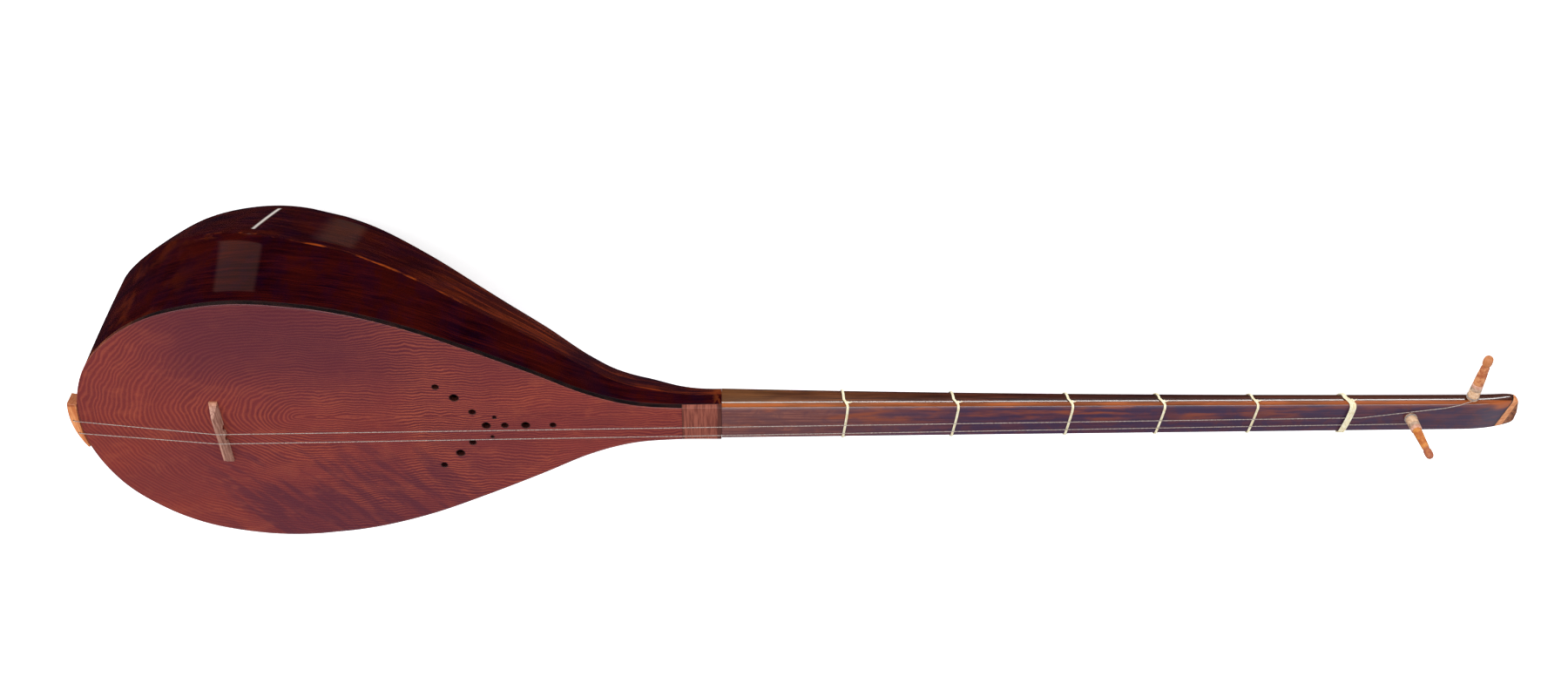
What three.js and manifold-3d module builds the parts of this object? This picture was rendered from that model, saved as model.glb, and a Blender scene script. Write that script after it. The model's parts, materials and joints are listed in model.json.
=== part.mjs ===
// A two-string long-necked lute (dotar) with a staved bowl, lying on its back.
//
// Everything is drawn in the instrument's own frame, in millimetres: X runs from the tail to the
// tip of the head, Z rises out of the soundboard, whose top face is z = 0, and Y runs across it.
// The last lines lean the finished instrument back until its bowl and its head touch z = 0.
import * as THREE from 'three';
import { mergeVertices } from 'three/addons/utils/BufferGeometryUtils.js';
import Module from 'manifold-3d';

const wasm = await Module();
wasm.setup();

// ---- driving dimensions -------------------------------------------------------------------
const LENGTH = 997;                 // origin, just behind the tail, to the end of the head
const GAP = 0.3;                    // clearance between pieces that touch

// Bowl and soundboard
const TAIL_X = 6.5;                 // tail end of the soundboard
const NECK_X = 437;                 // where the ribs end and the bare neck starts
const RIB_COUNT = 7;
const RIB_THICKNESS = 3.5;
const BOARD_THICKNESS = 4;          // lining included
const EDGE_STRIP_WIDTH = 0.8;       // thin binding round the side of the soundboard
const BOARD_END_X = 410;            // soundboard ends here, and the joint cover starts
const REST_X = 160;                 // middle of the facet that the bowl rests on
const REST_DEPTH = 166;             // how far below the soundboard it lies
const REST_HALF_LENGTH = 12;
const TAIL_BLOCK_HALF_WIDTH = 36;
const TAIL_BLOCK_END_X = 32;
const TAIL_BLOCK_BOTTOM = -78;

// Neck and head
const NECK_HALF_WIDTH_BODY = 14.8;
const NECK_HALF_WIDTH_HEAD = 12.4;
const NECK_DEPTH_BODY = 31;
const NECK_DEPTH_HEAD = 17;
const NECK_CORNER = 2.5;            // rounding between the front face and the sides
const NECK_SHOULDER = 7;            // depth at which the rounded back begins
const HEEL_X = 386;                 // inner end of the neck's heel, inside the bowl
const BEVEL_X = 957;                // the front of the head starts to curve back here
const HEAD_HEEL_X = 985;            // back of the head where it touches the ground
const TIP_FRONT_Z = -9.5;           // where the front's curve meets the end of the head
const TIP_BACK_Z = -14.5;           // and where the rounding up from the back ends
const TIP_SLANT = 2.8;              // the head's far corner ends this far beyond the middle
const TIP_CORNER = 6;               // rounding of the head's corners, seen from the front
const VENEER_X = 983;               // dark veneer, light lamination and tip, along the centreline
const VENEER_THICKNESS = 0.9;
const LAMINATION_THICKNESS = 5.2;
const SCARF_TURN = THREE.MathUtils.degToRad(-15);
const SCARF_TILT = THREE.MathUtils.degToRad(-19);

// Bridge, tailpiece, strings and pegs
const BRIDGE_X = 98.6;
const BRIDGE_Y = -3.4;
const BRIDGE_FOOT_LENGTH = 55;
const BRIDGE_TOP_LENGTH = 38;
const BRIDGE_FOOT_THICKNESS = 5.6;
const BRIDGE_TOP_THICKNESS = 1.2;
const BRIDGE_HEIGHT = 9;
const BRIDGE_TOE = 1.6;             // height of the upright ends of its foot
const BRIDGE_ARCH_Y = [-4.4, 4.4];  // two small arches cut into the foot
const BRIDGE_ARCH_HALF_WIDTH = 2.6;
const BRIDGE_ARCH_RISE = 3;
const TAILPIECE_Y = 3.2;
const TAILPIECE_HALF_LENGTH = 19.3;
const TAILPIECE_THICKNESS = 6;      // at its near end
const TAILPIECE_THIN_END = 1.2;     // at its far end
const TAILPIECE_TOP = 1;
const TAILPIECE_BOTTOM = -10;
const STRING_RADIUS = 0.3;
const STRING_HOLE_RADIUS = 0.8;
const STRING_OVER_BRIDGE = BRIDGE_HEIGHT + GAP + STRING_RADIUS;
const STRING_OVER_NECK = 1;         // string height where the nut binding holds it down
const PEG_RADIUS = 3.8;
const PEG_TAPER = 0.8;              // how much thinner the shank is at its far end
const PEG_CLEARANCE = 0.1;
const WINDING_THICKNESS = 0.8;
const WINDING_START = 0.6;
const WINDING_END = 3.2;
const FRONT_PEG = { x: 917, y: 1, reach: 40, slim: 0.86 };
const SIDE_PEG = { x: 960, z: -6.8, reach: 38, slim: 1 };
const PEG_STRING_HOLE = 9.4;        // height of the string hole above the head
const PEG_STRING_HOLE_RADIUS = 0.8;

// Tied gut on the neck
const FRET_X = [522, 598, 677, 741, 806];
const FRET_WIDTH = 2;
const GUT_THICKNESS = 0.8;
const NUT_X = 873;
const NUT_WIDTH = 5.4;
const NUT_THICKNESS = 1.1;
const NUT_HOLD = 8;                 // strings lie level this far to either side of it
const KNOT_RADIUS = 1.2;

// Lean of the whole instrument when it lies on its back
const LEAN = Math.atan((REST_DEPTH - NECK_DEPTH_HEAD) / (HEAD_HEEL_X - REST_X));

// ---- curves of the body -------------------------------------------------------------------
// Half outline of the soundboard, tail to neck.
const outlineCurve = new THREE.SplineCurve([
  [TAIL_X, 0], [8, 16.5], [13, 35], [22, 54], [35, 70], [55, 86.5], [80, 98.5], [115, 106],
  [150, 106], [190, 99.5], [230, 86.5], [270, 68], [310, 47.5], [345, 28.5], [375, 18],
  [405, 14.8], [NECK_X, 14.8],
].map(([x, y]) => new THREE.Vector2(x, y)));

// The three ridges on each side between the ribs: how far out each one lies, as a share of the
// soundboard's half width, its depth from the tail to the neck, and where on the neck's round
// back it ends, in degrees down from the side.
const restRise = REST_HALF_LENGTH * Math.tan(LEAN);
const RIDGES = [
  {
    spread: 1.04,
    neckAngle: 15,
    depth: [
      [TAIL_X, 100], [31, 86], [75, 78], [115, 72], [150, 64], [190, 58], [230, 49], [270, 40],
      [310, 33], [345, 25.5], [375, 19], [NECK_X, 13],
    ],
  },
  {
    spread: 0.8,
    neckAngle: 38,
    depth: [
      [TAIL_X, 105], [31, 122], [75, 136], [115, 139], [150, 135], [190, 123], [230, 104],
      [270, 83], [310, 60], [345, 43], [375, 32], [NECK_X, 23.5],
    ],
  },
  {
    spread: 0.3,
    neckAngle: 72,
    depth: [
      [TAIL_X, 108], [31, 142], [75, 164.5], [115, 170.5],
      [REST_X - REST_HALF_LENGTH, REST_DEPTH + restRise],
      [REST_X + REST_HALF_LENGTH, REST_DEPTH - restRise],
      [195, 157], [230, 141], [270, 117], [310, 89], [345, 61.5], [375, 45.5], [NECK_X, 30],
    ],
  },
];
const ridgeCurves = RIDGES.map(
  (ridge) => new THREE.SplineCurve(ridge.depth.map(([x, depth]) => new THREE.Vector2(x, depth))),
);

// Height of a rising-x curve at one x.
function curveAt(curve, x) {
  let low = 0;
  let high = 1;
  for (let step = 0; step < 40; step += 1) {
    const middle = (low + high) / 2;
    if (curve.getPoint(middle).x < x) low = middle;
    else high = middle;
  }
  return curve.getPoint(low).y;
}

const halfWidth = (x) => curveAt(outlineCurve, x);

// ---- solids -------------------------------------------------------------------------------
// Closed solid through a row of rings with equal point counts, capped at both ends.
function loft(rings) {
  const count = rings[0].length;
  const positions = rings.flat().flatMap((point) => [point.x, point.y, point.z]);
  const index = [];
  for (let ring = 0; ring < rings.length - 1; ring += 1) {
    for (let side = 0; side < count; side += 1) {
      const a = ring * count + side;
      const b = ring * count + ((side + 1) % count);
      index.push(a, b, b + count, a, b + count, a + count);
    }
  }
  const last = (rings.length - 1) * count;
  for (let side = 1; side < count - 1; side += 1) {
    index.push(0, side + 1, side);
    index.push(last, last + side, last + side + 1);
  }
  const geometry = new THREE.BufferGeometry();
  geometry.setAttribute('position', new THREE.Float32BufferAttribute(positions, 3));
  geometry.setIndex(index);
  return facingOut(geometry);
}

// Turns an inside-out closed surface the right way round.
function facingOut(geometry) {
  const position = geometry.getAttribute('position');
  const index = geometry.getIndex();
  const corner = [new THREE.Vector3(), new THREE.Vector3(), new THREE.Vector3()];
  let volume = 0;
  for (let start = 0; start < index.count; start += 3) {
    corner.forEach((point, k) => point.fromBufferAttribute(position, index.getX(start + k)));
    volume += corner[0].dot(corner[1].clone().cross(corner[2]));
  }
  if (volume < 0) {
    for (let start = 0; start < index.count; start += 3) {
      const second = index.getX(start + 1);
      index.setX(start + 1, index.getX(start + 2));
      index.setX(start + 2, second);
    }
  }
  return geometry;
}

function toSolid(geometry) {
  const bare = geometry.clone();
  bare.deleteAttribute('normal');
  bare.deleteAttribute('uv');
  const merged = mergeVertices(bare, 1e-4);
  const mesh = new wasm.Mesh({
    numProp: 3,
    vertProperties: new Float32Array(merged.getAttribute('position').array),
    triVerts: new Uint32Array(merged.getIndex().array),
  });
  return new wasm.Manifold(mesh);
}

function toGeometry(solid) {
  const mesh = solid.getMesh();
  const geometry = new THREE.BufferGeometry();
  geometry.setAttribute('position', new THREE.BufferAttribute(mesh.vertProperties, 3));
  geometry.setIndex(new THREE.BufferAttribute(mesh.triVerts, 1));
  return geometry;
}

// A shape drawn in (y, z) and extruded along X from one x to another.
function extrudeAlongX(shape, fromX, toX, curveSegments = 8) {
  const settings = { depth: toX - fromX, bevelEnabled: false, curveSegments };
  const geometry = new THREE.ExtrudeGeometry(shape, settings);
  const turn = new THREE.Matrix4().makeBasis(
    new THREE.Vector3(0, 1, 0), new THREE.Vector3(0, 0, 1), new THREE.Vector3(1, 0, 0),
  );
  return geometry.applyMatrix4(turn).translate(fromX, 0, 0);
}

// A shape drawn in (x, z) and extruded along Y, centred on y = 0.
function extrudeAlongY(shape, width, curveSegments = 8) {
  const settings = { depth: width, bevelEnabled: false, curveSegments };
  const geometry = new THREE.ExtrudeGeometry(shape, settings);
  return geometry.rotateX(Math.PI / 2).translate(0, width / 2, 0);
}

// A shape drawn in (x, y) and extruded upwards from one z to another.
function extrudeAlongZ(shape, fromZ, toZ, curveSegments = 8) {
  const settings = { depth: toZ - fromZ, bevelEnabled: false, curveSegments };
  return new THREE.ExtrudeGeometry(shape, settings).translate(0, 0, fromZ);
}

const shapeOf = (points) => new THREE.Shape(points.map(([a, b]) => new THREE.Vector2(a, b)));

function rodAlongY(radius, length, sides) {
  return new THREE.CylinderGeometry(radius, radius, length, sides);
}

// Round wire along a polyline, with its rings carried smoothly from corner to corner.
function wire(points, radius, sides = 6) {
  const route = points.map(([x, y, z]) => new THREE.Vector3(x, y, z));
  const tangentAt = (i) => {
    const before = route[Math.max(i - 1, 0)];
    const after = route[Math.min(i + 1, route.length - 1)];
    return after.clone().sub(before).normalize();
  };
  let across = new THREE.Vector3(0, 1, 0);
  const rings = route.map((point, i) => {
    const tangent = tangentAt(i);
    across = across.clone().addScaledVector(tangent, -across.dot(tangent)).normalize();
    const up = new THREE.Vector3().crossVectors(tangent, across);
    return Array.from({ length: sides }, (_, side) => {
      const angle = (side / sides) * 2 * Math.PI;
      return point.clone()
        .addScaledVector(across, radius * Math.cos(angle))
        .addScaledVector(up, radius * Math.sin(angle));
    });
  });
  return loft(rings);
}

// ---- bowl ---------------------------------------------------------------------------------
// Cross-section stations: close together round the tail, the rest facet, then even steps.
const TAIL_STEPS = 14;
const NECK_STEPS = 14;
const restStart = REST_X - REST_HALF_LENGTH;
const restEnd = REST_X + REST_HALF_LENGTH;
const stations = [];
for (let step = 0; step <= TAIL_STEPS; step += 1) {
  const turn = (step / TAIL_STEPS) * (Math.PI / 2);
  stations.push(TAIL_X + (restStart - TAIL_X) * (1 - Math.cos(turn)));
}
for (let step = 0; step <= NECK_STEPS; step += 1) {
  stations.push(restEnd + (step / NECK_STEPS) * (NECK_X - restEnd));
}

// The eight lines of the bowl: both top edges and the six ridges between the seven ribs.
// Near the neck each ridge fairs into the neck's round back, at its own angle.
const RIB_TOP = -(BOARD_THICKNESS + GAP);
const SEAM_HALF_WIDTH = 2;          // width left to each ridge at the very tail
const FAIRING_START = 385;
const FAIRING_MARGIN = 0.3;         // how far the ridges stand out from the neck at the joint
function bowlPoint(line, x, tailHalfWidth) {
  const far = line > 3;
  const own = far ? RIB_COUNT - line : line;
  const side = far ? -1 : 1;
  const width = Math.max(halfWidth(x), tailHalfWidth);
  if (own === 0) return new THREE.Vector3(x, side * width, RIB_TOP);
  const { spread, neckAngle } = RIDGES[own - 1];
  const point = new THREE.Vector3(x, side * width * spread, -curveAt(ridgeCurves[own - 1], x));
  const angle = THREE.MathUtils.degToRad(neckAngle);
  const y = side * (NECK_HALF_WIDTH_BODY + FAIRING_MARGIN) * Math.cos(angle);
  const reach = NECK_DEPTH_BODY - NECK_SHOULDER + FAIRING_MARGIN;
  const onNeck = new THREE.Vector3(x, y, -NECK_SHOULDER - reach * Math.sin(angle));
  return point.lerp(onNeck, THREE.MathUtils.smoothstep(x, FAIRING_START, NECK_X));
}

// Direction into the bowl at one station of one line.
function inward(line, station) {
  const at = (l, s) => bowlPoint(l, stations[s], SEAM_HALF_WIDTH);
  const last = stations.length - 1;
  const along = at(line, Math.min(station + 1, last)).sub(at(line, Math.max(station - 1, 0)));
  const round = at(Math.min(line + 1, RIB_COUNT), station).sub(at(Math.max(line - 1, 0), station));
  const normal = round.cross(along);
  if (line === 0 || line === RIB_COUNT) normal.z = 0;
  return normal.normalize();
}

// The point under a line of the bowl, at a depth below the skin, on its own side of the middle.
function bowlPointInside(line, station, tailHalfWidth, depth) {
  const outside = bowlPoint(line, stations[station], tailHalfWidth);
  const inside = outside.clone().addScaledVector(inward(line, station), depth);
  const side = Math.sign(outside.y);
  inside.y = side * Math.max(side * inside.y, Math.abs(outside.y) / 2);
  return inside;
}

// Four corners of one rib at one station, narrowed by half a gap on each side.
function ribRing(rib, station) {
  const tailHalfWidth = rib === 0 ? GAP : SEAM_HALF_WIDTH;
  const first = bowlPoint(rib, stations[station], tailHalfWidth);
  const second = bowlPoint(rib + 1, stations[station], tailHalfWidth);
  const firstIn = bowlPointInside(rib, station, tailHalfWidth, RIB_THICKNESS);
  const secondIn = bowlPointInside(rib + 1, station, tailHalfWidth, RIB_THICKNESS);
  const across = second.clone().sub(first).normalize().multiplyScalar(GAP / 2);
  return [first.add(across), second.sub(across), secondIn.sub(across), firstIn.add(across)];
}

// Ribs past the middle one are mirror images of the near ones.
function ribGeometry(rib) {
  const twin = Math.min(rib, RIB_COUNT - 1 - rib);
  const rings = stations.map((_, station) => ribRing(twin, station));
  if (twin !== rib) rings.flat().forEach((point) => { point.y = -point.y; });
  return loft(rings);
}

// ---- soundboard, edge strips, joint cover, blocks --------------------------------------------
// Half outline moved inwards, as points from the tail to a given x.
function insetOutline(inset, endX) {
  const points = [];
  for (const x of [...stations.filter((station) => station < endX - 1), endX]) {
    const before = Math.max(x - 0.5, TAIL_X);
    const slope = (halfWidth(x + 0.5) - halfWidth(before)) / (x + 0.5 - before);
    const normal = x === TAIL_X ? new THREE.Vector2(1, 0) : new THREE.Vector2(slope, -1);
    const inside = new THREE.Vector2(x, halfWidth(x)).addScaledVector(normal.normalize(), inset);
    points.push([Math.min(inside.x, endX), Math.max(inside.y, 0)]);
  }
  points[points.length - 1][0] = endX;
  return points;
}

// Sound holes: one row along the centreline, two arms opening towards the tail.
const SOUND_HOLES = [
  { x: 322, y: 0, radius: 2 }, { x: 303.5, y: 0, radius: 2.7 }, { x: 289.4, y: 0, radius: 2.2 },
  { x: 276.8, y: 0, radius: 2.7 }, { x: 283, y: 7.6, radius: 1.2 }, { x: 280, y: -10.6, radius: 1.1 },
  { x: 268.7, y: 12.6, radius: 2.2 }, { x: 258, y: 25.7, radius: 2.9 },
  { x: 246.8, y: 35.6, radius: 2.1 }, { x: 266, y: -15.8, radius: 2.2 },
  { x: 256.5, y: -25.9, radius: 2.8 }, { x: 244, y: -37.4, radius: 2.1 },
];

function soundboardGeometry() {
  const near = insetOutline(EDGE_STRIP_WIDTH + GAP, BOARD_END_X);
  const far = near.slice(1).map(([x, y]) => [x, -y]).reverse();
  const board = shapeOf([...near, ...far]);
  for (const hole of SOUND_HOLES) {
    const path = new THREE.Path();
    path.absarc(hole.x, hole.y, hole.radius, 0, 2 * Math.PI, false);
    board.holes.push(path);
  }
  return extrudeAlongZ(board, -BOARD_THICKNESS, 0, 6);
}

function edgeStripGeometry(side) {
  const outer = insetOutline(0, BOARD_END_X);
  const inner = insetOutline(EDGE_STRIP_WIDTH, BOARD_END_X);
  outer[0][1] = GAP / 2;
  inner[0][1] = GAP / 2;
  const ring = [...outer, ...inner.reverse()].map(([x, y]) => [x, side * y]);
  return extrudeAlongZ(shapeOf(ring), -BOARD_THICKNESS, 0);
}

function jointCoverGeometry() {
  const start = BOARD_END_X + GAP;
  const end = NECK_X;
  const near = [[start, halfWidth(start)], [end, halfWidth(end)]];
  const far = near.map(([x, y]) => [x, -y]).reverse();
  return extrudeAlongZ(shapeOf([...near, ...far]), -BOARD_THICKNESS, 0);
}

function tailBlockGeometry() {
  const wall = insetOutline(RIB_THICKNESS + 2 * GAP, TAIL_BLOCK_END_X + 30);
  const near = wall.filter(([x, y]) => y < TAIL_BLOCK_HALF_WIDTH && x < TAIL_BLOCK_END_X);
  const reach = near[near.length - 1][1];
  const half = [...near, [TAIL_BLOCK_END_X, reach]];
  const far = half.slice(1).map(([x, y]) => [x, -y]).reverse();
  return extrudeAlongZ(shapeOf([...half, ...far]), TAIL_BLOCK_BOTTOM, RIB_TOP - GAP);
}

// ---- neck and head ------------------------------------------------------------------------
const neckShare = (x) => (x - NECK_X) / (LENGTH - NECK_X);
const neckHalfWidth = (x) => THREE.MathUtils.lerp(
  NECK_HALF_WIDTH_BODY, NECK_HALF_WIDTH_HEAD, neckShare(x),
);
const neckDepth = (x) => (
  NECK_DEPTH_HEAD + (NECK_DEPTH_BODY - NECK_DEPTH_HEAD) * (1 - neckShare(x)) ** 2
);

// Section of the neck in (y, z), grown outwards; the front face can be raised on its own.
function neckSection(x, divisions, grow, front) {
  const side = neckHalfWidth(x) + grow;
  const corner = NECK_CORNER + grow;
  const back = neckDepth(x) - NECK_SHOULDER + grow;
  const rise = front + NECK_CORNER;
  const section = new THREE.Path();
  section.moveTo(corner - side, front);
  section.lineTo(side - corner, front);
  section.absellipse(side - corner, -NECK_CORNER, corner, rise, Math.PI / 2, 0, true);
  section.lineTo(side, -NECK_SHOULDER);
  section.absellipse(0, -NECK_SHOULDER, side, back, 0, -Math.PI, true);
  section.lineTo(-side, -NECK_CORNER);
  section.absellipse(corner - side, -NECK_CORNER, corner, rise, Math.PI, Math.PI / 2, true);
  const points = section.getPoints(divisions);
  return points.filter((point, i) => point.distanceTo(points[(i + 1) % points.length]) > 0.01);
}

function neckRing(x, divisions = 8, grow = 0, front = grow) {
  const section = neckSection(x, divisions, grow, front);
  return section.map((point) => new THREE.Vector3(x, point.x, point.y));
}

// The heel fills the bowl behind the neck joint, clear of the ribs.
function heelGeometry() {
  const clearance = RIB_THICKNESS + 2 * GAP;
  const first = stations.findIndex((x) => x >= HEEL_X);
  const rings = [];
  for (let station = first; station < stations.length; station += 1) {
    const ring = [];
    for (let line = 0; line <= RIB_COUNT; line += 1) {
      const point = bowlPointInside(line, station, SEAM_HALF_WIDTH, clearance);
      point.z = Math.min(point.z, RIB_TOP - GAP);
      ring.push(point);
    }
    rings.push(ring);
  }
  const end = rings[rings.length - 1].map((point) => point.clone().setX(NECK_X + 5));
  return loft([...rings, end]);
}

// The shapes that trim the neck blank reach well past it on every side that they leave alone.
const TRIM_START = HEEL_X - 20;
const TRIM_ABOVE = 20;
const TRIM_BELOW = -60;

// Side view of the head: the front curves back to the tip and the end is rounded.
function headProfile() {
  const end = LENGTH + TIP_SLANT;
  const profile = new THREE.Shape();
  profile.moveTo(TRIM_START, TRIM_ABOVE);
  profile.lineTo(BEVEL_X, TRIM_ABOVE);
  profile.lineTo(BEVEL_X, 0);
  profile.quadraticCurveTo(984, 0, end, TIP_FRONT_Z);
  profile.quadraticCurveTo(end, TIP_BACK_Z, HEAD_HEEL_X, -NECK_DEPTH_HEAD - 0.1);
  profile.lineTo(HEAD_HEEL_X, TRIM_BELOW);
  profile.lineTo(TRIM_START, TRIM_BELOW);
  return extrudeAlongY(profile, 80, 6);
}

// Plan of the head: its end is cut at a slant and both corners are rounded.
function headPlan() {
  const side = NECK_HALF_WIDTH_HEAD;
  const round = TIP_CORNER;
  const farEnd = LENGTH + TIP_SLANT;
  const nearEnd = LENGTH - TIP_SLANT;
  const plan = new THREE.Shape();
  plan.moveTo(TRIM_START, -2 * side);
  plan.lineTo(farEnd - round, -2 * side);
  plan.lineTo(farEnd - round, -side);
  plan.quadraticCurveTo(farEnd, -side, farEnd - 1, round - side);
  plan.lineTo(nearEnd + 1, side - round);
  plan.quadraticCurveTo(nearEnd, side, nearEnd - round, side);
  plan.lineTo(nearEnd - round, 2 * side);
  plan.lineTo(TRIM_START, 2 * side);
  return extrudeAlongZ(plan, TRIM_BELOW, TRIM_ABOVE, 5);
}

// Slab across the head between two distances along the centreline, turned to the scarf's slant.
function scarfSlab(fromX, toX) {
  const thickness = (toX - fromX) * Math.cos(SCARF_TURN) * Math.cos(SCARF_TILT);
  const slab = new THREE.BoxGeometry(thickness, 600, 600).translate(thickness / 2, 0, 0);
  const turn = new THREE.Euler(0, SCARF_TILT, SCARF_TURN);
  slab.applyMatrix4(new THREE.Matrix4().makeRotationFromEuler(turn));
  return toSolid(slab.translate(fromX, 0, 0));
}

// Tapered hole along Y for a peg whose shank reaches down from y = 0.
const frontPegDepth = NECK_DEPTH_HEAD - 1;
const sidePegDepth = 2 * neckHalfWidth(SIDE_PEG.x) - 1;
function pegHoleGeometry(depth) {
  const over = 6;
  const widening = (PEG_TAPER / depth) * over;
  const top = PEG_RADIUS + PEG_CLEARANCE + widening;
  const bottom = PEG_RADIUS - PEG_TAPER + PEG_CLEARANCE - widening;
  return new THREE.CylinderGeometry(top, bottom, depth + 2 * over, 24).translate(0, -depth / 2, 0);
}

const NECK_STATIONS = [NECK_X + GAP, 480, 530, 590, 650, 710, 780, 850, 930, LENGTH + 4];
function neckAndHead() {
  const bar = toSolid(loft(NECK_STATIONS.map((x) => neckRing(x))));
  const blank = bar.intersect(toSolid(headProfile())).intersect(toSolid(headPlan()));
  const frontHole = pegHoleGeometry(frontPegDepth).rotateX(Math.PI / 2)
    .translate(FRONT_PEG.x, FRONT_PEG.y, 0);
  const sideHole = pegHoleGeometry(sidePegDepth)
    .translate(SIDE_PEG.x, neckHalfWidth(SIDE_PEG.x), SIDE_PEG.z);
  const bored = blank.subtract(toSolid(frontHole)).subtract(toSolid(sideHole));
  const veneerEnd = VENEER_X + VENEER_THICKNESS;
  const laminationEnd = veneerEnd + GAP + LAMINATION_THICKNESS;
  return {
    neck: bored.intersect(scarfSlab(HEEL_X - 100, VENEER_X - GAP)).add(toSolid(heelGeometry())),
    veneer: bored.intersect(scarfSlab(VENEER_X, veneerEnd)),
    lamination: bored.intersect(scarfSlab(veneerEnd + GAP, laminationEnd)),
    tip: bored.intersect(scarfSlab(laminationEnd + GAP, LENGTH + 60)),
  };
}

// Tied gut: a closed band round the neck with a knot on its near front corner.
function tiedGut(x, width, thickness, front) {
  const plug = (length, grow, top) => toSolid(loft(
    [x - length / 2, x + length / 2].map((end) => neckRing(end, 5, grow, top)),
  ));
  const band = plug(width, GAP + thickness, front + thickness);
  const ring = band.subtract(plug(2 * width, GAP, front));
  const knotY = neckHalfWidth(x) + GAP + thickness + KNOT_RADIUS * 0.5;
  const knot = new THREE.SphereGeometry(KNOT_RADIUS, 8, 6).translate(x, knotY, -NECK_CORNER - 1.5);
  return toGeometry(ring.add(toSolid(knot)));
}

// ---- tailpiece, bridge, strings -------------------------------------------------------------
const STRINGS = [
  { name: 'string_near', tailX: 3.6, tailY: 8.4, bridgeY: 2.7, nutY: 1.6 },
  { name: 'string_far', tailX: 4.3, tailY: -2.8, bridgeY: -6.1, nutY: -5 },
];

// The tailpiece is a block that follows the curve of the tail and thins out to its far end.
const TAIL_CURVE_RADIUS = 95;
function tailpieceGeometry() {
  const steps = 12;
  const inner = [];
  const outer = [];
  for (let step = 0; step <= steps; step += 1) {
    const y = TAILPIECE_Y + TAILPIECE_HALF_LENGTH * ((2 * step) / steps - 1);
    const fromNear = 1 - step / steps;
    const thickness = THREE.MathUtils.lerp(TAILPIECE_THICKNESS, TAILPIECE_THIN_END, fromNear ** 2);
    const tail = new THREE.Vector2(TAIL_X - GAP + (y * y) / (2 * TAIL_CURVE_RADIUS), y);
    const out = new THREE.Vector2(-1, y / TAIL_CURVE_RADIUS).normalize();
    inner.push([tail.x, tail.y]);
    outer.push([tail.x + out.x * thickness, tail.y + out.y * thickness]);
  }
  const block = toSolid(extrudeAlongZ(
    shapeOf([...outer, ...inner.reverse()]), TAILPIECE_BOTTOM, TAILPIECE_TOP,
  ));
  const holes = STRINGS.map((string) => toSolid(
    rodAlongY(STRING_HOLE_RADIUS, 40, 10).rotateX(Math.PI / 2)
      .translate(string.tailX, string.tailY, 0),
  ));
  return toGeometry(holes.reduce((solid, hole) => solid.subtract(hole), block));
}

function bridgeGeometry() {
  const foot = BRIDGE_FOOT_LENGTH / 2;
  const top = BRIDGE_TOP_LENGTH / 2;
  const front = new THREE.Shape();
  front.moveTo(-foot, GAP);
  for (const archY of BRIDGE_ARCH_Y) {
    front.lineTo(archY - BRIDGE_ARCH_HALF_WIDTH, GAP);
    front.absellipse(archY, GAP, BRIDGE_ARCH_HALF_WIDTH, BRIDGE_ARCH_RISE, Math.PI, 0, true);
  }
  front.lineTo(foot, GAP);
  front.lineTo(foot - 1, GAP + BRIDGE_TOE);
  front.lineTo(top, BRIDGE_HEIGHT);
  front.lineTo(-top, BRIDGE_HEIGHT);
  front.lineTo(-foot + 1, GAP + BRIDGE_TOE);
  const halfFoot = BRIDGE_FOOT_THICKNESS / 2;
  const halfTop = BRIDGE_TOP_THICKNESS / 2;
  const wedge = shapeOf([
    [-halfFoot, -1], [halfFoot, -1], [halfFoot, GAP + 0.8], [halfTop, BRIDGE_HEIGHT + 0.1],
    [-halfTop, BRIDGE_HEIGHT + 0.1], [-halfFoot, GAP + 0.8],
  ]);
  const plate = toSolid(extrudeAlongX(front, -halfFoot - 1, halfFoot + 1, 6));
  const solid = plate.intersect(toSolid(extrudeAlongY(wedge, BRIDGE_FOOT_LENGTH + 10)));
  return toGeometry(solid);
}

// Both strings run from the tailpiece over the bridge and under the nut binding to a peg.
const windingRadius = PEG_RADIUS + GAP + WINDING_THICKNESS;
const windingMiddle = (WINDING_START + WINDING_END) / 2;
function stringRoute(string) {
  const start = [
    [string.tailX, string.tailY, -6],
    [string.tailX, string.tailY, 0.9],
    [string.tailX + 0.7, string.tailY, 1.55],
    [string.tailX + 3, string.tailY, 1.9],
    [BRIDGE_X, string.bridgeY, STRING_OVER_BRIDGE],
    [NUT_X - NUT_HOLD, string.nutY, STRING_OVER_NECK],
    [NUT_X + NUT_HOLD, string.nutY, STRING_OVER_NECK],
  ];
  const clear = windingRadius + GAP + STRING_RADIUS;
  if (string.name === 'string_far') {
    return [...start, [FRONT_PEG.x, FRONT_PEG.y - clear, windingMiddle]];
  }
  const side = neckHalfWidth(SIDE_PEG.x);
  return [
    ...start,
    [SIDE_PEG.x - 21, side - 2.4, 0.85],
    [SIDE_PEG.x - 11, side - 0.4, 0.15],
    [SIDE_PEG.x - 7, side + 0.7, -0.75],
    [SIDE_PEG.x, side + windingMiddle, SIDE_PEG.z + clear],
  ];
}

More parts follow.
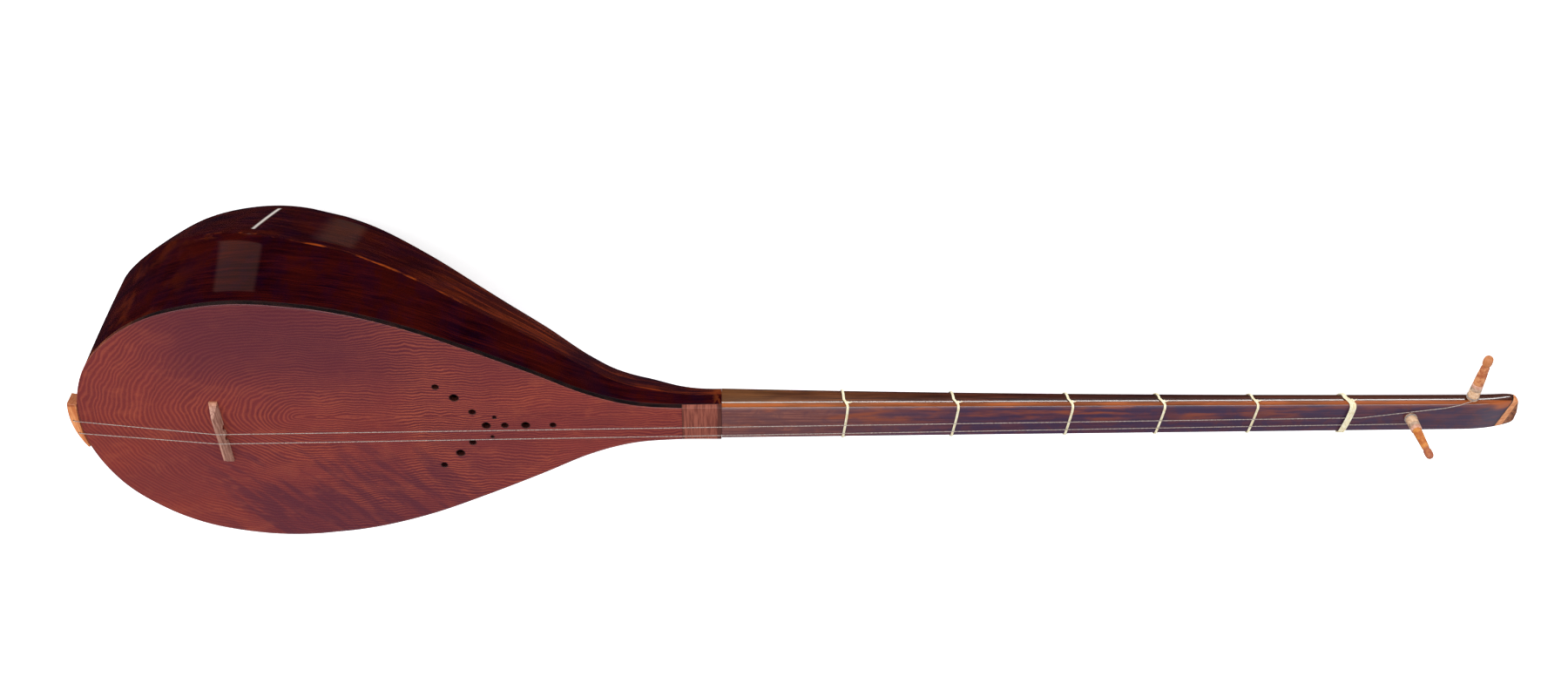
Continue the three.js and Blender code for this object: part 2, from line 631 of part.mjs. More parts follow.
// ---- pegs ---------------------------------------------------------------------------------
// Turned peg along +Y: tapered shank in the head (y < 0), bare shank, ring, handle and end knob.
function pegGeometry(peg, depth) {
  const { reach, slim } = peg;
  const ring = PEG_RADIUS - 0.3;
  const profile = [
    [0, -depth], [PEG_RADIUS - PEG_TAPER, -depth], [PEG_RADIUS, 0], [PEG_RADIUS, 10.2],
    [ring, 10.6], [ring, 13], [3.5 * slim, 13.4], [3.4 * slim, 18],
    [2.85 * slim, reach - 9.4], [2.5 * slim, reach - 8.4], [2.6 * slim, reach - 7.6],
    [3.2 * slim, reach - 6.4], [3.2 * slim, reach - 2.6], [2.6 * slim, reach - 0.8],
    [1.2 * slim, reach], [0, reach],
  ].map(([radius, y]) => new THREE.Vector2(radius, y));
  const body = toSolid(new THREE.LatheGeometry(profile, 20));
  const hole = rodAlongY(PEG_STRING_HOLE_RADIUS, 20, 8);
  hole.rotateZ(Math.PI / 2).translate(0, PEG_STRING_HOLE, 0);
  return toGeometry(body.subtract(toSolid(hole)));
}

function windingGeometry() {
  const inner = PEG_RADIUS + GAP;
  const outer = inner + WINDING_THICKNESS;
  const profile = [
    [inner, WINDING_START], [outer - 0.3, WINDING_START], [outer, WINDING_START + 0.4],
    [outer, WINDING_END - 0.4], [outer - 0.3, WINDING_END], [inner, WINDING_END],
    [inner, WINDING_START],
  ].map(([radius, y]) => new THREE.Vector2(radius, y));
  return new THREE.LatheGeometry(profile, 20);
}

// ---- materials and assembly -----------------------------------------------------------------
const finish = (color, roughness) => (
  () => new THREE.MeshStandardMaterial({ color, roughness, metalness: 0 })
);
const FINISHES = {
  lacqueredRib: finish(0x3d1711, 0.2),
  soundboard: finish(0x9a4a30, 0.45),
  blackEdge: finish(0x17100f, 0.35),
  blockWood: finish(0xb98a58, 0.7),
  neckWood: finish(0x6b3a22, 0.3),
  paleWood: finish(0xdc8a4b, 0.45),
  darkWood: finish(0x5a2f1d, 0.35),
  bridgeWood: finish(0xa96a48, 0.6),
  pegWood: finish(0xb9713c, 0.5),
  silk: finish(0xc9c4ba, 0.6),
  gut: finish(0xe6dfb4, 0.5),
};

const instrument = new THREE.Group();
function addPart(parent, name, geometry, makeMaterial) {
  const mesh = new THREE.Mesh(geometry, makeMaterial());
  mesh.name = name;
  parent.add(mesh);
  return mesh;
}

for (let rib = 0; rib < RIB_COUNT; rib += 1) {
  addPart(instrument, `rib_${rib + 1}`, ribGeometry(rib), FINISHES.lacqueredRib);
}
addPart(instrument, 'tail_block', tailBlockGeometry(), FINISHES.blockWood);
addPart(instrument, 'soundboard', soundboardGeometry(), FINISHES.soundboard);
addPart(instrument, 'edge_strip_near', edgeStripGeometry(1), FINISHES.blackEdge);
addPart(instrument, 'edge_strip_far', edgeStripGeometry(-1), FINISHES.blackEdge);
addPart(instrument, 'joint_cover', jointCoverGeometry(), FINISHES.soundboard);

const headParts = neckAndHead();
addPart(instrument, 'neck', toGeometry(headParts.neck), FINISHES.neckWood);
addPart(instrument, 'head_veneer', toGeometry(headParts.veneer), FINISHES.blackEdge);
addPart(instrument, 'head_lamination', toGeometry(headParts.lamination), FINISHES.paleWood);
addPart(instrument, 'head_tip', toGeometry(headParts.tip), FINISHES.darkWood);

addPart(instrument, 'tailpiece', tailpieceGeometry(), FINISHES.paleWood);
const bridge = addPart(instrument, 'bridge', bridgeGeometry(), FINISHES.bridgeWood);
bridge.position.set(BRIDGE_X, BRIDGE_Y, 0);
for (const string of STRINGS) {
  addPart(instrument, string.name, wire(stringRoute(string), STRING_RADIUS), FINISHES.silk);
}

FRET_X.forEach((x, i) => {
  const gut = tiedGut(x, FRET_WIDTH, GUT_THICKNESS, GAP);
  addPart(instrument, `fret_${i + 1}`, gut, FINISHES.gut);
});
const nutFront = STRING_OVER_NECK + STRING_RADIUS + GAP;
addPart(instrument, 'nut_binding', tiedGut(NUT_X, NUT_WIDTH, NUT_THICKNESS, nutFront), FINISHES.gut);

// Each peg is drawn along +Y from the surface of the head.
const frontPeg = new THREE.Group();
frontPeg.position.set(FRONT_PEG.x, FRONT_PEG.y, 0);
frontPeg.rotation.x = Math.PI / 2;
addPart(frontPeg, 'peg_front', pegGeometry(FRONT_PEG, frontPegDepth), FINISHES.pegWood);
addPart(frontPeg, 'winding_front', windingGeometry(), FINISHES.silk);
const sidePeg = new THREE.Group();
sidePeg.position.set(SIDE_PEG.x, neckHalfWidth(SIDE_PEG.x), SIDE_PEG.z);
addPart(sidePeg, 'peg_side', pegGeometry(SIDE_PEG, sidePegDepth), FINISHES.pegWood);
addPart(sidePeg, 'winding_side', windingGeometry(), FINISHES.silk);
instrument.add(frontPeg, sidePeg);

// ---- lying on its back ----------------------------------------------------------------------
instrument.rotation.y = LEAN;
instrument.updateMatrixWorld(true);
const box = new THREE.Box3().setFromObject(instrument, true);
const middle = box.getCenter(new THREE.Vector3());
instrument.position.set(-middle.x, -middle.y, -box.min.z);

const part = new THREE.Group();
part.add(instrument);
export default part;
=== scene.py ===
"""The look of a two-string long-necked lute (dotar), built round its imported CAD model.

Shapes are drawn in the instrument's own frame, in millimetres: X from the tail to the head, Y across
it towards the side peg, Z out of the soundboard, whose top face is z = 0. PLACE carries them, in
metres, to where the instrument lies.
"""

import json
import math

import bmesh
import bpy
import numpy as np
from mathutils import Matrix, Vector

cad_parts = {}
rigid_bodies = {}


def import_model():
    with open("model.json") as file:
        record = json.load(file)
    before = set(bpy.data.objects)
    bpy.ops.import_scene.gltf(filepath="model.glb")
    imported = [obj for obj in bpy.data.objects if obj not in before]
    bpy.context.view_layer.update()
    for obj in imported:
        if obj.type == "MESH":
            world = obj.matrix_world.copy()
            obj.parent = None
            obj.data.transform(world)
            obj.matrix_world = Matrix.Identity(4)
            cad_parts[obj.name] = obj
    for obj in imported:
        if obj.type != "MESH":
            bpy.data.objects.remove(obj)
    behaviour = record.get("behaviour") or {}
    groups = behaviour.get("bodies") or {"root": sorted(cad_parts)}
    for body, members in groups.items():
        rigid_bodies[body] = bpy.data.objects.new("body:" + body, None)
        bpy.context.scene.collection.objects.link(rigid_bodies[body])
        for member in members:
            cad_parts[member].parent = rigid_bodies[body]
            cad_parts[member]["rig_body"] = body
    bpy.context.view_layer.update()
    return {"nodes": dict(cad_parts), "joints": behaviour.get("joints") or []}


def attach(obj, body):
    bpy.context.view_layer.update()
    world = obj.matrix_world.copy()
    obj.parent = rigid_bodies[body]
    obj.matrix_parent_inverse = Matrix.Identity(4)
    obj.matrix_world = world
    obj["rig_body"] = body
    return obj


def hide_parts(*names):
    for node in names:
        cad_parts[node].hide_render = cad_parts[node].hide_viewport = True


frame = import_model()

# ---- driving dimensions (mm) -----------------------------------------------------------------------
MM = 0.001
LENGTH = 997
TAIL_X = 6.5
NECK_X = 437
RIB_COUNT = 7
RIB_THICKNESS = 3.5
BOARD_THICKNESS = 4
EDGE_STRIP_WIDTH = 0.8
BOARD_END_X = 410
REST_X = 160
REST_DEPTH = 166
REST_HALF_LENGTH = 12
HEAD_HEEL_X = 985
FAIRING_START = 385              # from here each ridge fairs into the neck
FAIRING_MARGIN = 0.3             # how far the ridges stand out from the neck at the joint
SEAM = 0.06                     # visible joint between two glued pieces
SEAM_HALF_WIDTH = 2             # width left to each ridge at the very tail
RIB_CROWN = 0.4                 # how far a rib bulges between its edges
RIB_EDGE = 0.9                  # width over which a rib's edge is rounded off
RIB_EDGE_DROP = 0.3

NECK_HALF_WIDTH_BODY = 14.8
NECK_HALF_WIDTH_HEAD = 12.4
NECK_DEPTH_BODY = 31
NECK_DEPTH_HEAD = 17
NECK_CORNER = 2.5
NECK_SHOULDER = 7
SIDE_LEAN = 0.28                 # how far the sides lean in towards the front
HEEL_X = 388
HEEL_NARROWING = 0.68            # the heel's width as a share of the neck's
HEEL_TOP_Z = -4.8
HEEL_ROOM = 1.5                  # left between the heel and the middle rib
BEVEL_X = 957
TIP_SLANT = 2.8
TIP_FRONT_Z = -9.5
TIP_BACK_Z = -14.5
TIP_CORNER = 6
VENEER_X = 983
VENEER_THICKNESS = 0.9
LAMINATION_THICKNESS = 5.4
SCARF_TURN = math.radians(-15)
SCARF_TILT = math.radians(-19)

BRIDGE_X = 98.6
BRIDGE_Y = -3.4
BRIDGE_HEIGHT = 9.28
BRIDGE_GAP = 0.03                # between its feet and the soundboard
BRIDGE_FOOT_REACH = 27.5         # half its length at the foot
BRIDGE_TOP_REACH = 19
BRIDGE_FOOT_HALF_WIDTH = 2.8
BRIDGE_TOP_HALF_WIDTH = 0.6
BRIDGE_FOOT_HEIGHT = 1.2
BRIDGE_ARCHES_Y = (-4.4, 4.4)
BRIDGE_ARCH_HALF_WIDTH = 2.6
BRIDGE_ARCH_RISE = 3
TAILPIECE_Y = 3.2
TAILPIECE_HALF_LENGTH = 19.3
TAILPIECE_THICKNESS = 6
TAILPIECE_THIN_END = 1.2
TAILPIECE_TOP = 1
TAILPIECE_BOTTOM = -10
TAILPIECE_HOLE_RADIUS = 0.6
TAIL_CURVE_RADIUS = 95
STRING_RADIUS = 0.3
STRING_OVER_BRIDGE = 9.6
STRING_OVER_NECK = 1
STRING_PITCH = 6.4
STRING_STEP = 0.55
PEG_RADIUS = 3.8
PEG_TAPER = 0.8
PEG_HOLE_CLEARANCE = 0.12
PEG_EYE_HEIGHT = 9.4             # the hole that the string's end goes through
PEG_EYE_RADIUS = 0.8
WINDING_TURNS = 3.5
WINDING_RADIUS = PEG_RADIUS + 0.26
WINDING_LOW = 0.8                # from the surface of the head to its first turn
WINDING_HIGH = 2.4
WINDING_STRAND = 0.24
FRONT_PEG = Vector((917, 1, 0))
SIDE_PEG_X = 960
SIDE_PEG_Z = -6.8

FRET_X = [522, 598, 677, 741, 806]
FRET_STRAND = 0.42              # radius of one turn of gut
GUT_CLEARANCE = 0.08
GUT_TRAVEL = 3                  # the furthest that a band of gut slides towards the bowl
FRET_STRAND_PITCH = 0.84
FRET_LEAD = 0.9                  # from a fret's place to the middle of its turns at the near corner
FRET_BULGES = (2.6, 2.2)         # how far the turns bend towards the bowl, on even and on odd frets
FRET_KNOT_SIZE = 0.95
FRET_KNOT_STRAND = 0.36
FRET_END_STRAND = 0.3
NUT_X = 873
NUT_STRAND = 0.56
NUT_STRAND_PITCH = 1.16
NUT_TURNS = 4
NUT_LIFT = 1.15                  # how far its turns rise over the strings
NUT_BULGE = 3.0
NUT_SQUEEZE = 0.55
NUT_KNOT_SIZE = 1.3
NUT_KNOT_STRAND = 0.45
NUT_END_STRAND = 0.34
NUT_HOLD = 8                     # the strings lie level this far to either side of it

SOUND_HOLES = [
    (322, 0, 2), (303.5, 0, 2.7), (289.4, 0, 2.2), (276.8, 0, 2.7), (283, 7.6, 1.2), (280, -10.6, 1.1),
    (268.7, 12.6, 2.2), (258, 25.7, 2.9), (246.8, 35.6, 2.1), (266, -15.8, 2.2), (256.5, -25.9, 2.8),
    (244, -37.4, 2.1),
]

# ---- the instrument's place ------------------------------------------------------------------------
JOINTS = {joint["name"]: joint for joint in frame["joints"]}
ALONG = Vector(JOINTS["bridge_slide"]["axis"]).normalized()
NORMAL = Vector(JOINTS["front_peg_turn"]["axis"]).normalized()
ACROSS = NORMAL.cross(ALONG)
TURN = Matrix((ALONG, ACROSS, NORMAL)).transposed().to_4x4()
PLACE = (
    Matrix.Translation(Vector(JOINTS["front_peg_turn"]["pos_m"])) @ TURN
    @ Matrix.Translation(-FRONT_PEG * MM)
)
LEAN = math.atan2(NORMAL.x, NORMAL.z)


# ---- curves ----------------------------------------------------------------------------------------
def smooth_curve(points, steps=60):
    """Height at any x of a smooth curve through points with rising x (uniform Catmull-Rom)."""
    ends = [points[0], *points, points[-1]]
    xs, ys = [], []
    for before, start, end, after in zip(ends, ends[1:], ends[2:], ends[3:]):
        for step in range(steps):
            t = step / steps
            sample = []
            for axis in (0, 1):
                a, b = start[axis], end[axis]
                leave = (b - before[axis]) / 2
                arrive = (after[axis] - a) / 2
                sample.append(
                    (2 * a - 2 * b + leave + arrive) * t ** 3
                    + (3 * b - 3 * a - 2 * leave - arrive) * t ** 2 + leave * t + a
                )
            xs.append(sample[0])
            ys.append(sample[1])
    xs.append(points[-1][0])
    ys.append(points[-1][1])
    return lambda x: float(np.interp(x, xs, ys))


def bezier(start, control, end, steps=24):
    """Points of a quadratic curve."""
    start, control, end = Vector(start), Vector(control), Vector(end)
    shares = [step / steps for step in range(steps + 1)]
    return [start * (1 - t) ** 2 + control * 2 * t * (1 - t) + end * t * t for t in shares]


half_width = smooth_curve([
    (TAIL_X, 0), (8, 16.5), (13, 35), (22, 54), (35, 70), (55, 86.5), (80, 98.5), (115, 106),
    (150, 106), (190, 99.5), (230, 86.5), (270, 68), (310, 47.5), (345, 28.5), (375, 18),
    (405, 14.8), (NECK_X, 14.8),
])

REST_RISE = REST_HALF_LENGTH * math.tan(LEAN)
# The three ridges on each side: how far out, how deep, and where on the neck's round back it ends.
RIDGES = [
    (1.04, smooth_curve([
        (TAIL_X, 100), (31, 86), (75, 78), (115, 72), (150, 64), (190, 58), (230, 49), (270, 40),
        (310, 33), (345, 25.5), (375, 19), (NECK_X, 13),
    ]), math.radians(15)),
    (0.8, smooth_curve([
        (TAIL_X, 105), (31, 122), (75, 136), (115, 139), (150, 135), (190, 123), (230, 104),
        (270, 83), (310, 60), (345, 43), (375, 32), (NECK_X, 23.5),
    ]), math.radians(38)),
    (0.3, smooth_curve([
        (TAIL_X, 108), (31, 142), (75, 164.5), (115, 170.5),
        (REST_X - REST_HALF_LENGTH, REST_DEPTH + REST_RISE),
        (REST_X + REST_HALF_LENGTH, REST_DEPTH - REST_RISE), (195, 157), (230, 141), (270, 117),
        (310, 89), (345, 61.5), (375, 45.5), (NECK_X, 30),
    ]), math.radians(72)),
]


# ---- meshes ----------------------------------------------------------------------------------------
def placed(vertex):
    """A point of the instrument's frame, in mm, where it lies in the scene."""
    return PLACE @ (Vector(vertex) * MM)


def piece(node, vertices, faces, material, sharp=35, across=None):
    """A finished mesh, drawn in mm, that stands for one CAD node and rides on that node's body.

    across gives each vertex its distance from one edge of a strip of wood, for the grain to follow.
    """
    mesh = bpy.data.meshes.new(node)
    mesh.from_pydata([placed(vertex) for vertex in vertices], [], faces)
    if across:
        mesh.attributes.new("across", "FLOAT", "POINT").data.foreach_set("value", across)
    work = bmesh.new()
    work.from_mesh(mesh)
    bmesh.ops.remove_doubles(work, verts=work.verts, dist=1e-7)
    bmesh.ops.recalc_face_normals(work, faces=work.faces)
    work.to_mesh(mesh)
    work.free()
    mesh.shade_smooth()
    mesh.set_sharp_from_angle(angle=math.radians(sharp))
    mesh.materials.append(material)
    thing = bpy.data.objects.new(node + "_look", mesh)
    bpy.context.scene.collection.objects.link(thing)
    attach(thing, frame["nodes"][node]["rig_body"])
    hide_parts(node)
    return thing


def loft(rings, capped=True, closed=False):
    """Vertices and faces of a skin through a row of rings with equal point counts."""
    count = len(rings[0])
    vertices = [point for ring in rings for point in ring]
    faces = []
    spans = len(rings) if closed else len(rings) - 1
    for ring in range(spans):
        here, there = ring * count, ((ring + 1) % len(rings)) * count
        for side in range(count):
            beside = (side + 1) % count
            faces.append((here + side, here + beside, there + beside, there + side))
    if capped and not closed:
        faces.append(tuple(range(count - 1, -1, -1)))
        faces.append(tuple(range(len(vertices) - count, len(vertices))))
    return vertices, faces


def joined(*shells):
    """Several (vertices, faces) as one."""
    vertices, faces = [], []
    for shell_vertices, shell_faces in shells:
        start = len(vertices)
        vertices += shell_vertices
        faces += [tuple(start + corner for corner in face) for face in shell_faces]
    return vertices, faces


def sweep(route, reference, radius, sides=8, closed=False, pitch=0):
    """A cord along a route. With a pitch it is two twisted strands that turn once in that length."""
    route = [Vector(point) for point in route]
    last = len(route) - 1
    travelled = 0.0
    rings = []
    for i, point in enumerate(route):
        before = route[i - 1] if closed or i else route[0]
        after = route[(i + 1) % len(route)] if closed or i < last else route[last]
        tangent = (after - before).normalized()
        across = (reference - tangent * reference.dot(tangent)).normalized()
        up = tangent.cross(across)
        travelled += (point - route[i - 1]).length if i else 0
        turn = 2 * math.pi * travelled / pitch if pitch else 0
        ring = []
        for side in range(sides):
            angle = 2 * math.pi * side / sides
            lobe = 0.68 + 0.32 * abs(math.cos(angle - turn)) if pitch else 1
            ring.append(point + (across * math.cos(angle) + up * math.sin(angle)) * radius * lobe)
        rings.append(ring)
    return loft(rings, closed=closed)


def resample(route, step):
    """The same polyline with a point about every step."""
    route = [Vector(point) for point in route]
    dense = []
    for start, end in zip(route, route[1:]):
        count = max(2, int((end - start).length / step))
        dense += [start.lerp(end, k / count) for k in range(count)]
    dense.append(route[-1])
    return dense


def lathe(profile, sides=64):
    """A turned shape round +Z from (radius, z) pairs that start and end on the axis."""
    rings = []
    for radius, z in profile:
        radius = max(radius, 0.02)
        ring = []
        for side in range(sides):
            angle = 2 * math.pi * side / sides
            ring.append(Vector((radius * math.cos(angle), radius * math.sin(angle), z)))
        rings.append(ring)
    return loft(rings)


def inset_loop(points, distance):
    """A closed outline moved to its left by a distance."""
    moved = []
    for i, point in enumerate(points):
        before = Vector(points[i - 1])
        after = Vector(points[(i + 1) % len(points)])
        here = Vector(point)
        first = (here - before).normalized()
        second = (after - here).normalized()
        normal = Vector((-first.y - second.y, first.x + second.x)).normalized()
        stretch = 1 / max(0.5, normal.dot(Vector((-second.y, second.x))))
        moved.append(here + normal * distance * stretch)
    return moved


def plate(loops, bottom, top, bevel):
    """A flat plate: outer outline counter-clockwise, holes clockwise, with bevelled rims."""
    work = bmesh.new()
    caps = {0: [], 1: []}
    for loop in loops:
        inside = inset_loop(loop, bevel)
        levels = [(inside, bottom), (loop, bottom + bevel), (loop, top - bevel), (inside, top)]
        rows = [[work.verts.new((p[0], p[1], z)) for p in outline] for outline, z in levels]
        count = len(loop)
        for low, high in zip(rows, rows[1:]):
            for k in range(count):
                n = (k + 1) % count
                work.faces.new((low[k], low[n], high[n], high[k]))
        for end, row in ((0, rows[0]), (1, rows[-1])):
            caps[end] += [work.edges.get((row[k], row[(k + 1) % count])) for k in range(count)]
    for end, direction in ((0, -1), (1, 1)):
        bmesh.ops.triangle_fill(work, use_beauty=True, edges=caps[end], normal=(0, 0, direction))
    bmesh.ops.recalc_face_normals(work, faces=work.faces)
    work.verts.index_update()
    vertices = [vertex.co.copy() for vertex in work.verts]
    faces = [tuple(vertex.index for vertex in face.verts) for face in work.faces]
    work.free()
    return vertices, faces


def cut(thing, cutters):
    """Takes closed shells, drawn in mm, away from a finished piece."""
    for vertices, faces in cutters:
        mesh = bpy.data.meshes.new("cutter")
        mesh.from_pydata([placed(vertex) for vertex in vertices], [], faces)
        tool = bpy.data.objects.new("cutter", mesh)
        bpy.context.scene.collection.objects.link(tool)
        modifier = thing.modifiers.new("bore", "BOOLEAN")
        modifier.operation = "DIFFERENCE"
        modifier.solver = "EXACT"
        modifier.object = tool
        bpy.context.view_layer.update()
        shaped = thing.evaluated_get(bpy.context.evaluated_depsgraph_get())
        mesh_after = bpy.data.meshes.new_from_object(shaped)
        thing.modifiers.clear()
        thing.data = mesh_after
        bpy.data.objects.remove(tool)
    thing.data.shade_smooth()
    thing.data.set_sharp_from_angle(angle=math.radians(35))


# ---- materials -------------------------------------------------------------------------------------
def linear(red, green, blue_reflection):
    """A colour given as 0-255 display values."""
    shares = [value / 255 for value in (red, green, blue_reflection)]
    return tuple(s / 12.92 if s <= 0.04045 else ((s + 0.055) / 1.055) ** 2.4 for s in shares)


class Signal:
    """A node's value that can be added, subtracted, multiplied and raised to a power like a number."""

    def __init__(self, nodes, socket):
        self.nodes = nodes
        self.socket = socket

    def __add__(self, other):
        return self.nodes.math("ADD", self, other)

    def __radd__(self, other):
        return self.nodes.math("ADD", other, self)

    def __sub__(self, other):
        return self.nodes.math("SUBTRACT", self, other)

    def __rsub__(self, other):
        return self.nodes.math("SUBTRACT", other, self)

    def __mul__(self, other):
        return self.nodes.math("MULTIPLY", self, other)

    def __pow__(self, other):
        return self.nodes.math("POWER", self, other)


class Nodes:
    """Short ways to add nodes to a material or to the world."""

    def __init__(self, tree):
        self.tree = tree

    def add(self, kind, **settings):
        node = self.tree.nodes.new(kind)
        for key, value in settings.items():
            setattr(node, key, value)
        return node

    def feed(self, socket, value):
        if isinstance(value, Signal):
            value = value.socket
        if isinstance(value, bpy.types.NodeSocket):
            self.tree.links.new(value, socket)
        elif socket.type == "RGBA" and len(value) == 3:
            socket.default_value = (*value, 1)
        else:
            socket.default_value = value

    def made(self, kind, values, **settings):
        """A new node with its first inputs fed."""
        node = self.add(kind, **settings)
        for socket, value in zip(node.inputs, values):
            self.feed(socket, value)
        return node

    def math(self, operation, a, b=0.0):
        return Signal(self, self.made("ShaderNodeMath", (a, b), operation=operation).outputs[0])

    def vector(self, operation, a, b):
        return self.made("ShaderNodeVectorMath", (a, b), operation=operation).outputs[0]

    def dot(self, a, b):
        node = self.made("ShaderNodeVectorMath", (a, b), operation="DOT_PRODUCT")
        return Signal(self, node.outputs["Value"])

    def join(self, x, y=0.0, z=0.0):
        return self.made("ShaderNodeCombineXYZ", (x, y, z)).outputs[0]

    def step(self, value, low, high):
        """0 below low, 1 above high, smooth between. low may be above high."""
        node = self.made("ShaderNodeMapRange", (value,), interpolation_type="SMOOTHSTEP")
        turned = low > high
        node.inputs["From Min"].default_value = min(low, high)
        node.inputs["From Max"].default_value = max(low, high)
        node.inputs["To Min"].default_value = 1 if turned else 0
        node.inputs["To Max"].default_value = 0 if turned else 1
        return Signal(self, node.outputs["Result"])

    def band(self, value, start, end, soft):
        """1 between start and end, with soft edges."""
        return self.step(value, start - soft, start + soft) * self.step(value, end + soft, end - soft)

    def mix(self, share, a, b):
        """Colour a, giving way to colour b by a share."""
        node = self.add("ShaderNodeMix", data_type="RGBA")
        for place, value in ((0, share), (6, a), (7, b)):
            self.feed(node.inputs[place], value)
        return node.outputs[2]


class Paint(Nodes):
    """A node material whose patterns are drawn in the instrument's own millimetres."""

    def __init__(self, name, roughness=0.4, coat=0.0, coat_roughness=0.1, specular=0.5):
        self.material = bpy.data.materials.new(name)
        self.material.use_nodes = True
        super().__init__(self.material.node_tree)
        self.shader = self.tree.nodes["Principled BSDF"]
        self.shader.inputs["Roughness"].default_value = roughness
        self.shader.inputs["Coat Weight"].default_value = coat
        self.shader.inputs["Coat Roughness"].default_value = coat_roughness
        self.shader.inputs["Specular IOR Level"].default_value = specular
        coordinates = self.add("ShaderNodeTexCoord").outputs["Object"]
        offset = self.vector("SUBTRACT", coordinates, PLACE.translation)
        self.x, self.y, self.z = (self.dot(offset, axis / MM) for axis in (ALONG, ACROSS, NORMAL))
        self.place = self.join(self.x, self.y, self.z)

    def noise(self, stretch, detail=3.0, roughness=0.55, at=None, distortion=0.0, shift=0.0):
        """Noise from about 0.25 to 0.75. stretch is how many features there are per mm along each axis."""
        node = self.add("ShaderNodeTexNoise")
        where = self.vector("MULTIPLY", self.place if at is None else at, stretch)
        if shift:
            where = self.vector("ADD", where, (shift, shift * 1.7, shift * 0.6))
        self.feed(node.inputs["Vector"], where)
        node.inputs["Scale"].default_value = 1
        node.inputs["Detail"].default_value = detail
        node.inputs["Roughness"].default_value = roughness
        node.inputs["Distortion"].default_value = distortion
        return Signal(self, node.outputs["Fac"])

    def finish(self, color, roughness=None, bump=None, strength=0.2, height=0.1):
        self.feed(self.shader.inputs["Base Color"], color)
        if roughness is not None:
            self.feed(self.shader.inputs["Roughness"], roughness)
        if bump is not None:
            node = self.add("ShaderNodeBump")
            node.inputs["Strength"].default_value = strength
            node.inputs["Distance"].default_value = height * MM
            self.feed(node.inputs["Height"], bump)
            self.feed(self.shader.inputs["Normal"], node.outputs["Normal"])
        return self.material


def board_color(p):
    """Mulberry soundboard: fine wavy grain along the middle that bends into arcs round the tail."""
    left = p.math("MINIMUM", p.x - 150, 0.0) * 0.75
    side = p.y - 9
    distance = (left ** 2.0 + side ** 2.0) ** 0.5
    sway = (p.noise((0.012, 0.018, 0), 2) - 0.5) * 20
    ripple = (p.noise((0.09, 0.05, 0), 2, shift=3) - 0.5) * 4
    grain = distance + sway + ripple
    course = p.join(grain, p.x * 0.05, 0.0)
    uneven = p.noise((0.12, 0.25, 0), 2, at=course, shift=41) * 9
    wave = p.math("SINE", grain * (2 * math.pi / 2.3) + uneven)
    broken = p.noise((0.5, 2.2, 0), 3, 0.6, shift=12) * 2.2
    lines = p.step(wave + broken, 0.9, 2.2)
    rings = p.step(p.noise((0.13, 0.5, 0), 2, 0.5, at=course, shift=8), 0.35, 0.65)
    pores = p.step(p.noise((2.4, 2.2, 0), 2, 0.6, at=course, shift=15), 0.5, 0.7)
    cloud = p.step(p.noise((0.013, 0.018, 0), 3, 0.5, shift=21), 0.34, 0.66)
    slanted = p.join(p.x + p.y * 0.85, p.y - p.x)
    flame = p.step(p.noise((0.085, 0.014, 0), 3, 0.55, at=slanted, shift=31), 0.44, 0.6)

    figure = p.step(p.noise((0.02, 0.02, 0), 2, 0.5, shift=51), 0.3, 0.62)
    figure = figure * (0.25 + p.band(p.x, 165, 290, 70) * 0.75)
    quiet = p.step(p.x, 150, 60) * p.step(p.y, 10, 50)
    strength = figure * (1.0 - quiet * 0.7)
    color = p.mix(rings * 0.4, BOARD_MID, p.mix(0.5, BOARD_MID, BOARD_DARK))
    color = p.mix(lines * (0.26 + strength * 0.7), color, BOARD_LIGHT)
    dark_lines = p.step(wave, -0.2, -0.95)
    color = p.mix(dark_lines * (0.18 + strength * 0.4), color, BOARD_DARK)
    tail = p.step(p.x, 170, 10) * p.step(p.y, 95, -80)
    color = p.mix(tail * 0.6, color, BOARD_ORANGE)
    # Purple over the far half, in the flame figure: painted reflection of the bluish surroundings.
    lower = p.step(p.y, 0, -40) * p.step(p.x, 60, 110) * p.step(p.x, 300, 220)
    color = p.mix(flame * lower * 0.65, color, BOARD_PURPLE)
    glow = p.step(p.noise((0.06, 0.1, 0), 3, 0.6, shift=61), 0.52, 0.7) * 0.2
    color = p.mix(glow, color, BOARD_LIGHT)
    # Purple over the near half and along the far edge: painted reflection of the bluish surroundings.
    near = p.step(p.y, 10, 70) * p.step(p.x, 40, 100) * p.step(p.x, 330, 180)
    color = p.mix(near * 0.65, color, BOARD_PURPLE)
    far = p.step(p.y, -50, -95) * p.step(p.x, 90, 150)
    color = p.mix(far * 0.45, color, BOARD_PURPLE)
    color = p.mix(cloud * 0.3, color, BOARD_PURPLE)
    color = p.mix(pores * 0.35, color, BOARD_DARK)
    return color, lines, pores


BOARD_DARK = linear(84, 28, 28)
BOARD_MID = linear(124, 47, 42)
BOARD_LIGHT = linear(176, 86, 54)
BOARD_ORANGE = linear(136, 50, 32)
BOARD_PURPLE = linear(78, 30, 42)


def soundboard_paint():
    p = Paint("varnished_mulberry", roughness=0.42, coat=0.12, coat_roughness=0.2, specular=0.28)
    color, lines, pores = board_color(p)
    hole = None
    for x, y, radius in SOUND_HOLES:
        away = p.vector("SUBTRACT", p.place, (x, y, 0))
        level = p.vector("MULTIPLY", away, (1, 1, 0))
        node = p.made("ShaderNodeVectorMath", (level,), operation="LENGTH")
        rim = p.step(node.outputs["Value"], radius + 0.9, radius + 0.1)
        hole = rim if hole is None else p.math("MAXIMUM", hole, rim)
    color = p.mix(hole * 0.85, color, linear(30, 12, 10))
    rough = 0.38 + lines * 0.12
    height = lines - pores * 0.6
    return p.finish(color, rough, height, 0.35, 0.12)


